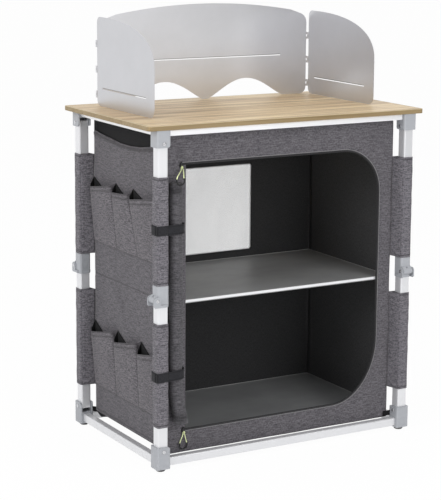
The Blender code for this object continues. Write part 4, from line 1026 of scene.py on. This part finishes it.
# Zip pulls: a cast slider on the coil, a tied loop of pale green cord through its eye, and a black moulded
# grip that both strands run into. The upper one lies over the top end of the rolled door.
cast_black = grained("black cast slider", (1500.0, 2.0, 0.6), (24, 24, 25), (52, 52, 54), (0.2, 0.35), 0.3)
braid = Finish("pale green cord")
u, v, _ = braid.axes("cut")
round_cord, along_cord = u * 1800.0, v * 2600.0
plait = (along_cord + round_cord).math("SINE") * (along_cord - round_cord).math("SINE")
braid_green = braid.done(
    Base_Color=braid.between(plait * 0.5 + 0.5, tone(242, 249, 204), tone(214, 226, 158)),
    Roughness=plait * 0.1 + 0.6,
    Normal=braid.raised(plait, 0.00025, 0.7),
)
grip_black = grained("grip rubber", (1800.0, 2.0, 0.6), (14, 14, 15), (28, 28, 30), (0.2, 0.45))
PULL_Y, CORD_Y, CORD_THICK = -0.2052, -0.2068, 0.0026
EYE_UNDER, RING, RING_UNDER = 0.006, 0.0114, 0.0397
for name, body_name, anchor, x0, z0, lean, inward, over in (
    ("upper_pull", "upper_zip", RAIL_Z, -0.2984, 0.7750, -0.0068, 0.02, 0.0365),
    ("lower_pull", "lower_zip", 0.0570, -0.2916, 0.0915, -0.0009, -0.05, 0.0),
):
    half = [(-0.0046, -0.0066), (-0.0040, 0.0010), (-0.0012, 0.0064)]
    outline = half + [(-x, z) for x, z in half[::-1]]
    outline = evened(np.array(outline) + (x0, z0), 0.0011, closed=True)[::-1]
    centre = outline.mean(axis=0)
    rings = [(1.0, 0.0020), (1.0, -0.0004), (0.92, -0.0014), (0.70, -0.0020), (0.45, -0.0021)]
    grid = np.stack([stood(centre + share * (outline - centre), PULL_Y + out) for share, out in rings])
    slider = surface(f"{name}_slider", grid, cast_black, around=True, capped=True)
    centre = np.array([x0 + lean, z0 - RING_UNDER])
    left_strand = [(x0 - 0.0008, z0 - 0.004), (x0 - 0.0030, z0 - 0.014), (centre[0] - 0.0098, z0 - 0.030)]
    right_strand = [(x0 + 0.0036, z0 - 0.016), (x0 + 0.0012, z0 - 0.004)]
    flat = np.concatenate([left_strand, bow(centre, RING, 172, 398, 40), right_strand])
    flat = smoothed(evened(flat, 0.0016), 3)
    swing = CORD_Y - 0.0006 * np.sin(np.linspace(0, 2 * math.pi, len(flat)))
    hang = ramp(-flat[:, 1], EYE_UNDER - z0, 0.026)
    hang = over * hang ** 2 * (3 - 2 * hang)
    path = grid_of(flat[:, 0] - 0.45 * hang, swing - hang, flat[:, 1] + 0.17 * hang)
    string = tube(f"{name}_cord", path, CORD_THICK / 2, braid_green)
    around_ring = np.hypot(*(flat - centre).T) < RING + 0.0006
    inside = path[around_ring & (flat[:, 1] < centre[1] + 0.0062)]
    grip = tube(f"{name}_grip", inside, 0.0018, grip_black, 10)
    turn = np.linspace(0, 2 * math.pi, 40, endpoint=False)
    knot_line = grid_of(x0 + 0.0016 * np.cos(turn) + 0.0007 * np.cos(3 * turn),
                        PULL_Y - 0.0026 + 0.0014 * np.sin(2 * turn), z0 - 0.0062 + 0.0022 * np.sin(turn))
    knot = tube(f"{name}_knot", knot_line, 0.0012, braid_green, closed=True)
    for piece in (slider, string, grip, knot):
        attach(piece, body_name)
        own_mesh(piece)
    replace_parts(slider, f"{name.split('_')[0]}_zip_pull")
